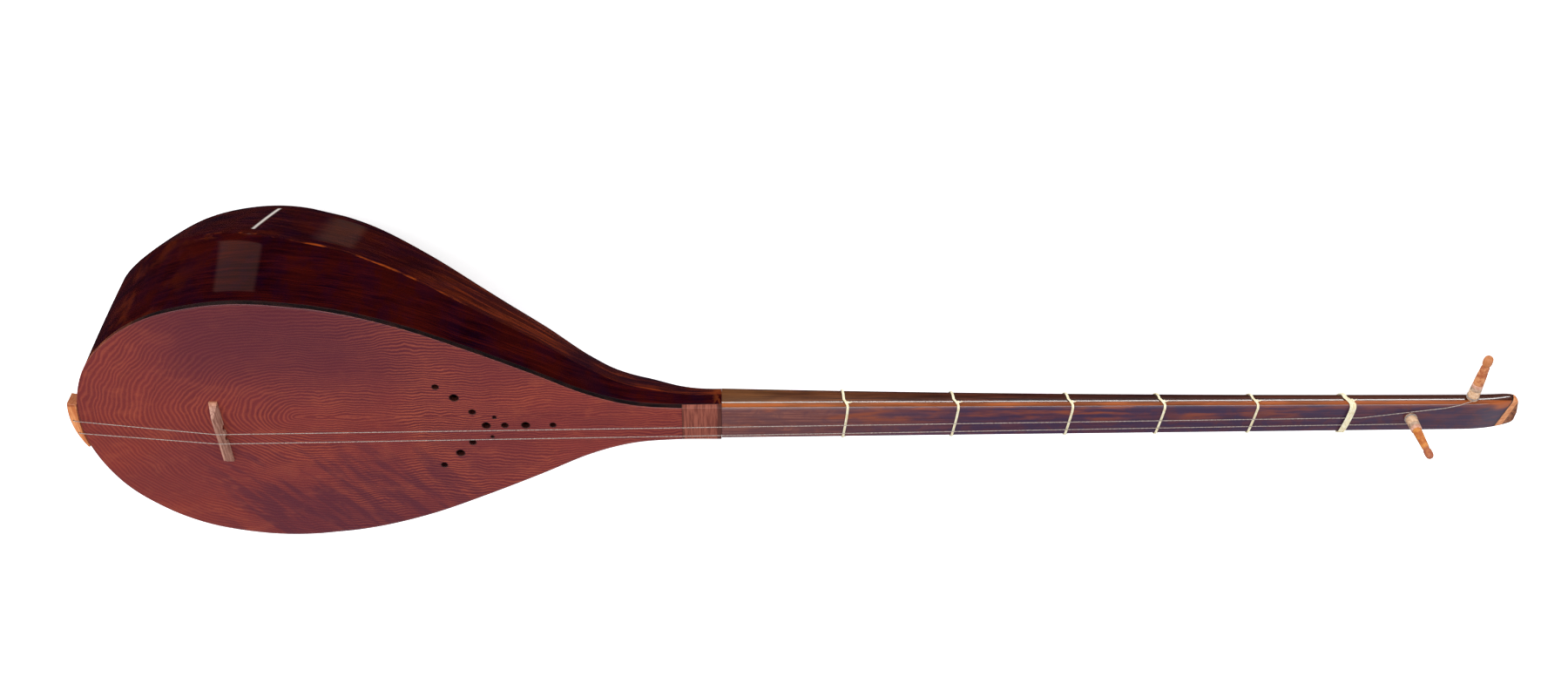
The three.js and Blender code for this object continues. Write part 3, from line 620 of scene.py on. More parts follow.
def cover_paint():
    """The same wood with its grain across the joint."""
    p = Paint("cross_grained_cover", roughness=0.42, coat=0.1, coat_roughness=0.25, specular=0.3)
    lines = p.step(p.noise((0.75, 0.05, 0.05), 3, 0.6, shift=5), 0.36, 0.62)
    color = p.mix(lines, linear(112, 55, 42), linear(150, 84, 66))
    end = p.step(p.x, NECK_X - 3.6, NECK_X - 2.2) * 0.8
    color = p.mix(end, color, linear(70, 34, 26))
    start = p.step(p.x, BOARD_END_X + 1.6, BOARD_END_X + 0.4) * 0.7
    color = p.mix(start, color, linear(80, 40, 30))
    return p.finish(color, None, lines, 0.3, 0.1)


def edge_paint():
    """Dark binding: its top matches the board, its side is black, browner round the tail."""
    p = Paint("edge_binding", roughness=0.35, coat=0.3, coat_roughness=0.15)
    color, lines, pores = board_color(p)
    below = p.step(p.z, -0.1, -0.5)
    tail = p.step(p.x, 75, 25)
    patches = p.step(p.noise((0.09, 0.09, 0.3), 3, 0.6, shift=4), 0.4, 0.65)
    side = p.mix(patches * 0.35, linear(16, 9, 10), linear(58, 26, 18))
    orange = p.mix(lines, linear(120, 56, 30), linear(158, 84, 46))
    far = p.step(p.y, 5, -5)
    warm = p.math("MAXIMUM", tail, far)
    side = p.mix(warm, side, orange)
    return p.finish(p.mix(below, color, side), None, patches, 0.2, 0.1)


def rib_paint(name, streaky):
    """Walnut under a dark red-brown glossy lacquer; its grain follows the rib, worn to orange in places."""
    p = Paint(name, roughness=0.4, coat=0.5, coat_roughness=0.03, specular=0.0)
    across = p.add("ShaderNodeAttribute", attribute_name="across").outputs["Fac"]
    sway = (p.noise((0.02, 0.02, 0.02), 2) - 0.5) * 7
    course = p.join(across + sway, p.x * 0.02, p.y * 0.01)
    lines = p.step(p.noise((0.55, 1.0, 1.0), 3, 0.6, at=course), 0.36, 0.64)
    fine = p.step(p.noise((1.3, 1.6, 1.0), 2, 0.6, at=course, shift=7), 0.4, 0.62)
    cloud = p.step(p.noise((0.02, 0.03, 0.03), 3, 0.55, shift=12), 0.38, 0.64)
    blotch = p.step(p.noise((0.09, 0.05, 0.05), 3, 0.6, shift=5), 0.4, 0.66)
    color = p.mix(lines, linear(14, 0, 5), linear(34, 3, 5))
    color = p.mix(cloud * 0.5, color, linear(54, 9, 2))
    color = p.mix(blotch * 0.4, color, linear(17, 2, 20))
    toward_neck = p.step(p.x, 215, 300)
    patchy = p.step(p.noise((0.2, 1.2, 1), 2, at=course, shift=3), 0.4, 0.6)
    amount = 0.12 + toward_neck * (0.55 if streaky else 0.05)
    streak = fine * patchy * amount
    color = p.mix(streak, color, linear(134, 54, 20) if streaky else linear(104, 26, 8))
    if streaky:
        color = p.mix(toward_neck * 0.22, color, linear(92, 38, 22))
    broken = p.step(p.noise((0.03, 0.03, 0.03), 2, shift=71), 0.36, 0.56)
    dark_end = p.band(p.x, 330, 425, 14) * broken
    color = p.mix(dark_end * 0.7, color, linear(18, 5, 18))
    # Broken orange line along the ridges between the ribs, from about x = 110 to 250: a painted highlight.
    ridge = p.step(across, 4.0, 0.4) if streaky else p.step(across, 63, 70)
    ridge_highlight = ridge * p.step(p.noise((0.05, 0.1, 0.1), 3, 0.6, shift=27), 0.46, 0.66)
    ridge_highlight = ridge_highlight * p.band(p.x, 110, 250, 60)
    color = p.mix(ridge_highlight * 0.8, color, linear(158, 70, 22))
    patch = p.step(p.noise((0.05, 0.035, 0.035), 3, 0.6, shift=33), 0.5, 0.68)
    color = p.mix(patch * p.step(p.x, 110, 40) * (0.15 if streaky else 0.28), color, linear(112, 44, 12))
    joint = p.step(p.x, NECK_X - 7, NECK_X - 3) * p.step(p.noise((0.3, 0.2, 0.2), 1, shift=2), 0.42, 0.5)
    color = p.mix(joint * 0.4, color, linear(120, 56, 24))
    rough = 0.3 + lines * 0.14
    return p.finish(color, rough, lines, 0.05, 0.05)


def neck_paint():
    """Walnut neck: golden-tan near the body, brown-red to the head; painted reflection mottles its face."""
    p = Paint("varnished_neck", roughness=0.4, coat=0.55, coat_roughness=0.05, specular=0.12)
    lines = p.step(p.noise((0.02, 0.75, 0.75), 4, 0.62), 0.36, 0.64)
    streaks = p.step(p.noise((0.02, 0.2, 0.2), 3, 0.6, shift=9), 0.42, 0.6)
    mottle = p.step(p.noise((0.085, 0.14, 0.14), 4, 0.62, distortion=0.8, shift=14), 0.4, 0.58)
    patch = p.step(p.noise((0.022, 0.06, 0.06), 3, 0.55, shift=24), 0.4, 0.6)
    toward_head = p.step(p.x, NECK_X + 20, 640)
    head = p.step(p.x, 740, 880)
    golden = p.step(p.x, NECK_X + 50, NECK_X + 15)
    side_near = p.mix(lines, linear(72, 36, 14), linear(116, 66, 30))
    side_head = p.mix(lines, linear(38, 8, 3), linear(84, 34, 12))
    side = p.mix(toward_head, side_near, side_head)
    side = p.mix(patch * 0.5, side, linear(36, 12, 8))
    side = p.mix(golden * 0.2, side, linear(140, 92, 44))
    side = p.mix(head * 0.3, side, linear(96, 42, 14))
    # The face's purple colours and blue mottle are a painted reflection of the bluish surroundings on the
    # wood.
    face_near = p.mix(lines, linear(100, 60, 56), linear(134, 84, 72))
    face_head = p.mix(lines, linear(66, 38, 54), linear(88, 50, 62))
    face = p.mix(toward_head, face_near, face_head)
    blue_reflection = p.mix(toward_head, linear(92, 60, 62), linear(50, 42, 70))
    face = p.mix(mottle * 0.6, face, blue_reflection)
    warm = streaks * patch * (0.6 - head * 0.3)
    face = p.mix(warm * p.step(p.y, -6, 6), face, linear(156, 78, 34))
    bevel = p.step(p.x, BEVEL_X, BEVEL_X + 12) * p.step(p.y, 11.6, 10.8)
    front = p.math("MAXIMUM", p.step(p.z, -1.6, -0.5), bevel)
    color = p.mix(front, side, face)
    # Broken orange band on the near side just under the front corner: a painted highlight.
    corner_highlight = p.band(p.z, -4.6, -1.4, 0.6) * p.step(p.y, 4, 8)
    broken = 0.45 + streaks * 0.4
    color = p.mix(corner_highlight * broken, color, linear(168, 84, 28))
    rough = 0.34 + lines * 0.12
    uneven = p.noise((0.16, 0.3, 0.3), 3, 0.6, shift=44)
    return p.finish(color, rough, lines * 0.12 + uneven, 0.3, 0.35)


def grained(p, stretch, detail, roughness, low, dark, light, shift=0.0):
    """Grain lines of a wood, and the colour that they give it."""
    lines = p.step(p.noise(stretch, detail, roughness, shift=shift), low, 1 - low)
    return lines, p.mix(lines, dark, light)


def veneer_paint():
    p = Paint("dark_veneer", roughness=0.35)
    lines, color = grained(p, (0.2, 0.9, 0.9), 3, 0.55, 0.4, linear(30, 14, 12), linear(58, 28, 20))
    return p.finish(color, None, lines, 0.2, 0.1)


def lamination_paint():
    p = Paint("pale_lamination", roughness=0.38, coat=0.3, coat_roughness=0.2)
    lines, color = grained(p, (0.25, 0.9, 0.5), 4, 0.6, 0.36, linear(206, 120, 66), linear(238, 168, 110))
    cloud = p.step(p.noise((0.1, 0.15, 0.15), 2, shift=7), 0.35, 0.65)
    return p.finish(p.mix(cloud * 0.3, color, linear(196, 118, 70)), None, lines, 0.25, 0.1)


def tip_paint():
    p = Paint("brown_head_tip", roughness=0.34, coat=0.4, coat_roughness=0.15)
    lines, color = grained(p, (0.12, 0.7, 0.7), 4, 0.6, 0.38, linear(104, 56, 34), linear(170, 108, 70), 2)
    return p.finish(color, None, lines, 0.25, 0.1)


def tailpiece_paint():
    p = Paint("tailpiece_wood", roughness=0.42, coat=0.2, coat_roughness=0.25)
    lines = p.step(p.noise((0.7, 0.05, 0.6), 4, 0.6), 0.36, 0.64)
    cloud = p.step(p.noise((0.12, 0.08, 0.12), 3, shift=5), 0.38, 0.64)
    color = p.mix(lines, linear(192, 108, 54), linear(234, 158, 98))
    color = p.mix(cloud * 0.35, color, linear(190, 100, 50))
    # Deeper orange at the near end: painted shade on the end face.
    end = p.step(p.y, TAILPIECE_Y + TAILPIECE_HALF_LENGTH - 2.2, TAILPIECE_Y + TAILPIECE_HALF_LENGTH - 0.6)
    color = p.mix(end * 0.7, color, linear(150, 74, 30))
    return p.finish(color, None, lines, 0.3, 0.12)


def bridge_paint():
    p = Paint("bridge_wood", roughness=0.58)
    lines = p.step(p.noise((0.8, 0.07, 0.8), 4, 0.6), 0.36, 0.64)
    color = p.mix(lines, linear(142, 94, 78), linear(190, 142, 122))
    end = p.step(p.y, 20, 25)
    color = p.mix(end * 0.5, color, linear(206, 134, 90))
    return p.finish(color, None, lines, 0.3, 0.1)


def cord_paint():
    p = Paint("twisted_silk", roughness=0.55, specular=0.4)
    fibres = p.step(p.noise((2.2, 3.0, 3.0), 2), 0.38, 0.62)
    color = p.mix(fibres, linear(128, 112, 104), linear(196, 182, 172))
    return p.finish(color, None, fibres, 0.3, 0.05)


def gut_paint():
    p = Paint("gut", roughness=0.42, coat=0.2, coat_roughness=0.3)
    p.shader.inputs["Subsurface Weight"].default_value = 0.15
    p.shader.inputs["Subsurface Radius"].default_value = (0.001, 0.0008, 0.0005)
    wear = p.step(p.noise((0.5, 0.35, 0.35), 3, 0.6), 0.36, 0.66)
    color = p.mix(wear, linear(232, 220, 180), linear(246, 240, 212))
    fibres = p.noise((1.4, 1.4, 1.4), 3, shift=4)
    return p.finish(color, None, fibres, 0.3, 0.08)


def peg_paint(name, height, handle_light, handle_dark, tip):
    """Turned apricot wood: pale shank, greyish band with the string hole, ring, handle and knob."""
    p = Paint(name, roughness=0.45, coat=0.15, coat_roughness=0.3)
    along = height(p)
    lines = p.step(p.noise((0.5, 0.5, 0.5), 4, 0.62, distortion=0.6), 0.38, 0.62)
    mottle = p.step(p.noise((0.22, 0.22, 0.22), 3, 0.6, shift=6), 0.4, 0.62)
    shank = p.mix(lines, linear(206, 160, 118), linear(236, 202, 166))
    grey = p.mix(lines, linear(158, 126, 102), linear(196, 166, 140))
    handle = p.mix(mottle, handle_dark, handle_light)
    color = p.mix(p.step(along, 7.6, 8.2), shank, grey)
    ring = p.mix(lines, linear(196, 140, 116), linear(222, 178, 152))
    color = p.mix(p.step(along, 10.3, 10.7), color, ring)
    color = p.mix(p.step(along, 13.0, 13.6), color, handle)
    color = p.mix(p.step(along, 29.5, 32.5), color, p.mix(lines * 0.4, tip, handle_light))
    return p.finish(color, None, lines, 0.3, 0.1)


def block_paint():
    p = Paint("raw_block_wood", roughness=0.7)
    dark, light = linear(150, 104, 62), linear(190, 148, 100)
    lines, color = grained(p, (0.08, 0.5, 0.5), 4, 0.6, 0.36, dark, light)
    return p.finish(color, None, lines, 0.3, 0.1)


# ---- bowl ------------------------------------------------------------------------------------------
RIB_TOP = -(BOARD_THICKNESS + SEAM)
TAIL_STEPS = 56
NECK_STEPS = 76


def bowl_stations():
    """Cross-section places: close together round the tail, then even steps to the neck."""
    rest_start = REST_X - REST_HALF_LENGTH
    rest_end = REST_X + REST_HALF_LENGTH
    stations = []
    for step in range(TAIL_STEPS + 1):
        turn = step / TAIL_STEPS * math.pi / 2
        stations.append(TAIL_X + (rest_start - TAIL_X) * (1 - math.cos(turn)))
    for step in range(NECK_STEPS + 1):
        stations.append(rest_end + step / NECK_STEPS * (NECK_X - rest_end))
    return stations


STATIONS = bowl_stations()


def bowl_point(line, x, tail_half_width=SEAM_HALF_WIDTH):
    """A point on one of the eight lines between the ribs, numbered from the near top edge."""
    far = line > 3
    own = RIB_COUNT - line if far else line
    side = -1 if far else 1
    width = max(half_width(x), tail_half_width)
    if own == 0:
        return Vector((x, side * width, RIB_TOP))
    spread, depth, neck_angle = RIDGES[own - 1]
    point = Vector((x, side * width * spread, -depth(x)))
    y = side * (NECK_HALF_WIDTH_BODY + FAIRING_MARGIN) * math.cos(neck_angle)
    reach = NECK_DEPTH_BODY - NECK_SHOULDER + FAIRING_MARGIN
    on_neck = Vector((x, y, -NECK_SHOULDER - reach * math.sin(neck_angle)))
    share = min(max((x - FAIRING_START) / (NECK_X - FAIRING_START), 0), 1)
    return point.lerp(on_neck, share * share * (3 - 2 * share))


def inward(line, station):
    last = len(STATIONS) - 1
    ahead = bowl_point(line, STATIONS[min(station + 1, last)])
    behind = bowl_point(line, STATIONS[max(station - 1, 0)])
    x = STATIONS[station]
    round_bowl = bowl_point(min(line + 1, RIB_COUNT), x) - bowl_point(max(line - 1, 0), x)
    normal = round_bowl.cross(ahead - behind)
    if line in (0, RIB_COUNT):
        normal.z = 0
    return normal.normalized()


def rib_ring(rib, station):
    """Section of one rib: a slightly crowned outside with rounded edges, and its flat inside."""
    tail = 0.05 if rib == 0 else SEAM_HALF_WIDTH
    x = STATIONS[station]
    first, second = bowl_point(rib, x, tail), bowl_point(rib + 1, x, tail)
    across = second - first
    width = across.length
    across.normalize()
    first_in, second_in = inward(rib, station), inward(rib + 1, station)
    outward = -(first_in + second_in).normalized()
    outward = (outward - across * outward.dot(across)).normalized()
    edge = min(RIB_EDGE, width * 0.2)
    margins = [SEAM / 2, edge * 0.3, edge * 0.65, edge]
    places = margins + [edge + (width - 2 * edge) * k / 7 for k in range(1, 7)]
    places += [width - margin for margin in reversed(margins)]
    ring = []
    for place in places:
        share = place / width
        to_edge = min(place, width - place)
        drop = RIB_EDGE_DROP * max(0.0, 1 - to_edge / edge) ** 2
        crown = RIB_CROWN * 4 * share * (1 - share)
        ring.append(first + across * place + outward * (crown - drop))
    for line, normal, corner in ((rib + 1, second_in, second), (rib, first_in, first)):
        inside = corner + normal * RIB_THICKNESS
        side = 1 if corner.y > 0 else -1
        inside.y = side * max(side * inside.y, abs(corner.y) / 2)
        pull = -SEAM / 2 if line == rib + 1 else SEAM / 2
        ring.append(inside + across * pull)
    marks = [*places, width, 0]
    return ring, [mark if rib < 3 else abs(mark - width / 2) for mark in marks]


def make_ribs(materials):
    for rib in range(RIB_COUNT):
        twin = min(rib, RIB_COUNT - 1 - rib)
        sections = [rib_ring(twin, station) for station in range(len(STATIONS))]
        rings = [ring for ring, marks in sections]
        if twin != rib:
            rings = [[Vector((p.x, -p.y, p.z)) for p in ring] for ring in rings]
        across = [mark for ring, marks in sections for mark in marks]
        piece(f"rib_{rib + 1}", *loft(rings), materials[min(twin, 1)], across=across)


# ---- soundboard and its edge -----------------------------------------------------------------------
def board_half(inset, end_x):
    """Half outline moved inwards, from the tail to end_x."""
    points = []
    for x in [*(s for s in STATIONS if s < end_x - 1), end_x]:
        before = max(x - 0.5, TAIL_X)
        slope = (half_width(x + 0.5) - half_width(before)) / (x + 0.5 - before)
        normal = Vector((1, 0)) if x == TAIL_X else Vector((slope, -1)).normalized()
        inside = Vector((x, half_width(x))) + normal * inset
        points.append(Vector((min(inside.x, end_x), max(inside.y, 0))))
    points[-1].x = end_x
    return points


def counter_clockwise(points):
    area = sum(a[0] * b[1] - b[0] * a[1] for a, b in zip(points, [*points[1:], points[0]]))
    return list(points) if area > 0 else list(reversed(points))


def make_soundboard(material):
    near = board_half(EDGE_STRIP_WIDTH + SEAM, BOARD_END_X)
    far = [Vector((p.x, -p.y)) for p in near[1:]]
    loops = [counter_clockwise([*near, *reversed(far)])]
    for x, y, radius in SOUND_HOLES:
        turns = [2 * math.pi * k / 40 for k in range(40)]
        loops.append([Vector((x + radius * math.cos(t), y - radius * math.sin(t))) for t in turns])
    piece("soundboard", *plate(loops, -BOARD_THICKNESS, 0, 0.15), material)


def make_edge_strips(material):
    for name, side in (("edge_strip_near", 1), ("edge_strip_far", -1)):
        outer = board_half(0, BOARD_END_X)
        inner = board_half(EDGE_STRIP_WIDTH, BOARD_END_X)
        outer[0].y = inner[0].y = SEAM / 2
        loop = [Vector((p.x, side * p.y)) for p in [*outer, *reversed(inner)]]
        piece(name, *plate([counter_clockwise(loop)], -BOARD_THICKNESS, 0, 0.15), material)


def make_joint_cover(material):
    start, end = BOARD_END_X + SEAM, NECK_X - SEAM
    steps = [start + (end - start) * k / 8 for k in range(9)]
    near = [Vector((x, half_width(x))) for x in steps]
    far = [Vector((p.x, -p.y)) for p in near]
    loop = counter_clockwise([*near, *reversed(far)])
    piece("joint_cover", *plate([loop], -BOARD_THICKNESS, 0, 0.25), material)


# ---- neck and head ---------------------------------------------------------------------------------
def neck_share(x):
    return (x - NECK_X) / (LENGTH - NECK_X)


def neck_half_width(x):
    return NECK_HALF_WIDTH_BODY + (NECK_HALF_WIDTH_HEAD - NECK_HALF_WIDTH_BODY) * neck_share(x)


def neck_depth(x):
    return NECK_DEPTH_HEAD + (NECK_DEPTH_BODY - NECK_DEPTH_HEAD) * (1 - neck_share(x)) ** 2


def arc(center, radius_y, radius_z, start, end, steps):
    """Points of an elliptical arc in (y, z), without its last point; angles in degrees."""
    angles = [math.radians(start + (end - start) * k / steps) for k in range(steps)]
    return [(center[0] + radius_y * math.cos(a), center[1] + radius_z * math.sin(a)) for a in angles]


def neck_section(x, grow=0.0):
    """Section of the neck in (y, z), clockwise from the far end of its front face."""
    side = neck_half_width(x) + grow
    corner = NECK_CORNER + grow
    back = neck_depth(x) - NECK_SHOULDER + grow
    flat = side - corner - SIDE_LEAN
    start = math.degrees(math.atan(2 * SIDE_LEAN / (NECK_SHOULDER - NECK_CORNER)))
    leaning = []
    for k in range(8):
        rise = (1 - k / 8) * (NECK_SHOULDER - NECK_CORNER)
        leaning.append((side - SIDE_LEAN * (1 - k / 8) ** 2, rise - NECK_SHOULDER))
    section = [(-flat + 2 * flat * k / 12, grow) for k in range(12)]
    section += arc((flat, -NECK_CORNER), corner, corner, 90, start, 8)
    section += leaning
    section += arc((0, -NECK_SHOULDER), side, back, 0, -180, 48)
    section += [(-side, -NECK_SHOULDER)] + [(-y, z) for y, z in reversed(leaning)]
    section += arc((-flat, -NECK_CORNER), corner, corner, 180 - start, 90, 8)
    return section


FAR_END_X = LENGTH + TIP_SLANT
NEAR_END_X = LENGTH - TIP_SLANT


def limit(points):
    """Height at any x of a polyline given with rising x, level beyond its ends."""
    xs = [point[0] for point in points]
    ys = [point[1] for point in points]
    return lambda x: float(np.interp(x, xs, ys))


front_limit = limit(bezier((BEVEL_X, 0), (984, 0), (FAR_END_X, TIP_FRONT_Z)))
back_limit = limit(list(reversed(bezier(
    (FAR_END_X, TIP_FRONT_Z), (FAR_END_X, TIP_BACK_Z), (HEAD_HEEL_X, -NECK_DEPTH_HEAD),
))))
NECK_END = NECK_HALF_WIDTH_HEAD
near_corner = bezier(
    (NEAR_END_X - TIP_CORNER, NECK_END), (NEAR_END_X, NECK_END), (NEAR_END_X + 1, NECK_END - TIP_CORNER),
)
far_corner = bezier(
    (FAR_END_X - 1, TIP_CORNER - NECK_END), (FAR_END_X - 0.9, -NECK_END),
    (FAR_END_X - TIP_CORNER, -NECK_END),
)
near_limit = limit([*near_corner, (FAR_END_X - 1, TIP_CORNER - NECK_END)])
far_limit = limit(list(reversed(far_corner)))


def neck_ring(x):
    """Section at x, fitted into the rounded and bevelled shape of the head."""
    side, depth = neck_half_width(x), neck_depth(x)
    ring = []
    for y, z in neck_section(x):
        if x > BEVEL_X:
            bottom = max(back_limit(x), -depth) if x > HEAD_HEEL_X else -depth
            top = front_limit(x)
            z = bottom + (z + depth) / depth * (top - bottom)
        if x > NEAR_END_X - TIP_CORNER:
            low, high = max(far_limit(x), -side), min(near_limit(x), side)
            y = low + (y + side) / (2 * side) * max(high - low, 0.2)
        ring.append(Vector((x, y, z)))
    return ring


def heel_ring(x):
    """The heel inside the bowl, drawn as the neck's section made smaller."""
    depth = neck_depth(NECK_X)
    room = RIDGES[2][1](x) - RIB_THICKNESS - HEEL_ROOM
    ring = []
    for y, z in neck_section(NECK_X):
        height = HEEL_TOP_Z + z / depth * (room + HEEL_TOP_Z)
        ring.append(Vector((x, y * HEEL_NARROWING, height)))
    return ring


def between_planes(vertices, faces, start_x, end_x):
    """The stretch of a solid between two slanted scarf planes that cross y = z = 0 at these places."""
    normal = Matrix.Rotation(SCARF_TILT, 3, "Y") @ Matrix.Rotation(SCARF_TURN, 3, "Z") @ Vector((1, 0, 0))
    work = bmesh.new()
    made = [work.verts.new(vertex) for vertex in vertices]
    for face in faces:
        work.faces.new([made[corner] for corner in face])
    for x, keep in ((start_x, 1), (end_x, -1)):
        if x is None:
            continue
        parts = [*work.verts, *work.edges, *work.faces]
        bmesh.ops.bisect_plane(
            work, geom=parts, plane_co=Vector((x, 0, 0)), plane_no=normal * keep, clear_inner=True,
        )
        open_edges = [edge for edge in work.edges if edge.is_boundary]
        bmesh.ops.holes_fill(work, edges=open_edges, sides=0)
    work.verts.index_update()
    result = (
        [vertex.co.copy() for vertex in work.verts],
        [tuple(vertex.index for vertex in face.verts) for face in work.faces],
    )
    work.free()
    return result


def peg_hole(depth, place, turn):
    """A tapered hole for a peg whose shank reaches down from the surface."""
    over = 4
    widening = PEG_TAPER / depth * over
    top = PEG_RADIUS + PEG_HOLE_CLEARANCE + widening
    bottom = PEG_RADIUS - PEG_TAPER + PEG_HOLE_CLEARANCE - widening
    vertices, faces = lathe([(0, -depth - over), (bottom, -depth - over), (top, over), (0, over)], 48)
    return [turn @ vertex + place for vertex in vertices], faces


UPRIGHT = Matrix.Identity(3)
SIDEWAYS = Matrix.Rotation(math.radians(-90), 3, "X")
SIDE_PEG = Vector((SIDE_PEG_X, neck_half_width(SIDE_PEG_X), SIDE_PEG_Z))
FRONT_PEG_DEPTH = NECK_DEPTH_HEAD - 1
SIDE_PEG_DEPTH = 2 * SIDE_PEG.y - 1


def make_neck(materials):
    places = [NECK_X + 0.1 + (BEVEL_X - NECK_X) * k / 70 for k in range(70)]
    places += [BEVEL_X + (HEAD_HEEL_X - BEVEL_X) * k / 24 for k in range(24)]
    end_length = NEAR_END_X + 3.4 - HEAD_HEEL_X
    places += [HEAD_HEEL_X + end_length * math.sin(k / 40 * math.pi / 2) for k in range(41)]
    heel = [heel_ring(x) for x in (HEEL_X, 400, 412, 424, NECK_X - 0.1)]
    solid = loft([*heel, *(neck_ring(x) for x in places)])
    veneer_end = VENEER_X + VENEER_THICKNESS
    lamination_end = veneer_end + SEAM + LAMINATION_THICKNESS
    spans = {
        "neck": (None, VENEER_X - SEAM),
        "head_veneer": (VENEER_X, veneer_end),
        "head_lamination": (veneer_end + SEAM, lamination_end),
        "head_tip": (lamination_end + SEAM, None),
    }
    for name, (start, end) in spans.items():
        thing = piece(name, *between_planes(*solid, start, end), materials[name])
        if name == "neck":
            cut(thing, [
                peg_hole(FRONT_PEG_DEPTH, FRONT_PEG, UPRIGHT),
                peg_hole(SIDE_PEG_DEPTH, SIDE_PEG, SIDEWAYS),
            ])


# ---- tied gut --------------------------------------------------------------------------------------
def gut_turn(x, radius, lift=0.0, bulge=0.0, gather=0.0, squeeze=1.0):
    """One closed turn of gut round the neck, furthest towards the head at the near front corner.

    lift raises it over the strings on the front face. squeeze draws the turns together beside the
    neck, around the place gather.
    """
    route = []
    side = neck_half_width(x)
    deeper = neck_depth(x - bulge - GUT_TRAVEL) - neck_depth(x)
    for y, z in neck_section(x, radius + GUT_CLEARANCE + deeper):
        raised = z
        if z > -NECK_CORNER:
            dome = max(0.0, 1 - (y / (side + 1)) ** 2) ** 0.6
            raised = z + lift * dome
        beside = min(max((-z - 1) / 6, 0), 1)
        from_corner = max(0.0, (side - y) / (2 * side)) if z > -NECK_CORNER else beside
        place = x - bulge * from_corner ** 1.4 + (gather - x) * (1 - squeeze) * beside
        route.append(Vector((place, y, raised)))
    return sweep(route, Vector((1, 0, 0)), radius, sides=10, closed=True)


def knot(place, size, strand):
    """A small overhand knot (a trefoil) standing on the near front corner."""
    route = []
    for k in range(64):
        t = 2 * math.pi * k / 64
        reach = (2 + math.cos(3 * t)) / 3 * size
        route.append(place + Vector((
            reach * math.cos(2 * t), 0.75 * size * math.sin(3 * t) / 1.6 + 0.2, reach * math.sin(2 * t),
        )))
    return sweep(route, Vector((0.3, 1, 0.2)), strand, sides=8, closed=True)


def tail_end(start, way, length, strand, droop):
    """A short free end of gut leaving a knot."""
    route = []
    for k in range(13):
        t = k / 12
        route.append(start + way * length * t + droop * t * t)
    return sweep(route, Vector((0.2, 0.3, 1)), strand, sides=8)


def make_frets(material):
    for number, x in enumerate(FRET_X, 1):
        bulge = FRET_BULGES[number % 2]
        places = [x + FRET_LEAD + row * FRET_STRAND_PITCH / 2 for row in (-1, 1)]
        shells = [gut_turn(place, FRET_STRAND, bulge=bulge) for place in places]
        corner = Vector((x + 1, neck_half_width(x) + 0.35, -NECK_CORNER - 1.4))
        strand = FRET_END_STRAND
        shells.append(knot(corner, FRET_KNOT_SIZE, FRET_KNOT_STRAND))
        shells.append(tail_end(corner, Vector((0.9, 0.2, 0.2)), 3.2, strand, Vector((0, 0.3, -0.9))))
        shells.append(tail_end(corner, Vector((-0.8, 0.35, -0.5)), 2.8, strand, Vector((0.3, 0, -0.6))))
        piece(f"fret_{number}", *joined(*shells), material, sharp=60)


def make_nut(material):
    shells = []
    for k in range(NUT_TURNS):
        place = NUT_X + 0.4 + (k - (NUT_TURNS - 1) / 2) * NUT_STRAND_PITCH
        shells.append(gut_turn(
            place, NUT_STRAND, lift=NUT_LIFT, bulge=NUT_BULGE, gather=NUT_X - 0.6, squeeze=NUT_SQUEEZE,
        ))
    corner = Vector((NUT_X + 0.6, neck_half_width(NUT_X) + 0.5, -NECK_CORNER - 1))
    strand = NUT_END_STRAND
    shells.append(knot(corner, NUT_KNOT_SIZE, NUT_KNOT_STRAND))
    shells.append(tail_end(corner, Vector((-1, 0.5, 0.1)), 4, strand, Vector((-0.6, 0.3, -1.2))))
    shells.append(tail_end(corner, Vector((0.9, 0.3, 0.1)), 3.4, strand, Vector((0, 0.3, -0.8))))
    piece("nut_binding", *joined(*shells), material, sharp=60)


# ---- tailpiece, bridge, strings --------------------------------------------------------------------
STRINGS = {
    "string_near": {"tail": (3.6, 8.4), "bridge_y": 2.7, "nut_y": 1.6},
    "string_far": {"tail": (4.3, -2.8), "bridge_y": -6.1, "nut_y": -5},
}


def make_tailpiece(material):
    inner, outer = [], []
    steps = 40
    for step in range(steps + 1):
        share = step / steps
        y = TAILPIECE_Y + TAILPIECE_HALF_LENGTH * (2 * share - 1)
        thickness = TAILPIECE_THICKNESS + (TAILPIECE_THIN_END - TAILPIECE_THICKNESS) * (1 - share) ** 2
        tail = Vector((TAIL_X - SEAM + y * y / (2 * TAIL_CURVE_RADIUS), y))
        out = Vector((-1, y / TAIL_CURVE_RADIUS)).normalized()
        inner.append(tail)
        outer.append(tail + out * thickness)
    loops = [counter_clockwise([*outer, *reversed(inner)])]
    for string in STRINGS.values():
        x, y = string["tail"]
        turns = [2 * math.pi * k / 24 for k in range(24)]
        hole = TAILPIECE_HOLE_RADIUS
        loops.append([Vector((x + hole * math.cos(t), y - hole * math.sin(t))) for t in turns])
    piece("tailpiece", *plate(loops, TAILPIECE_BOTTOM, TAILPIECE_TOP, 0.3), material)


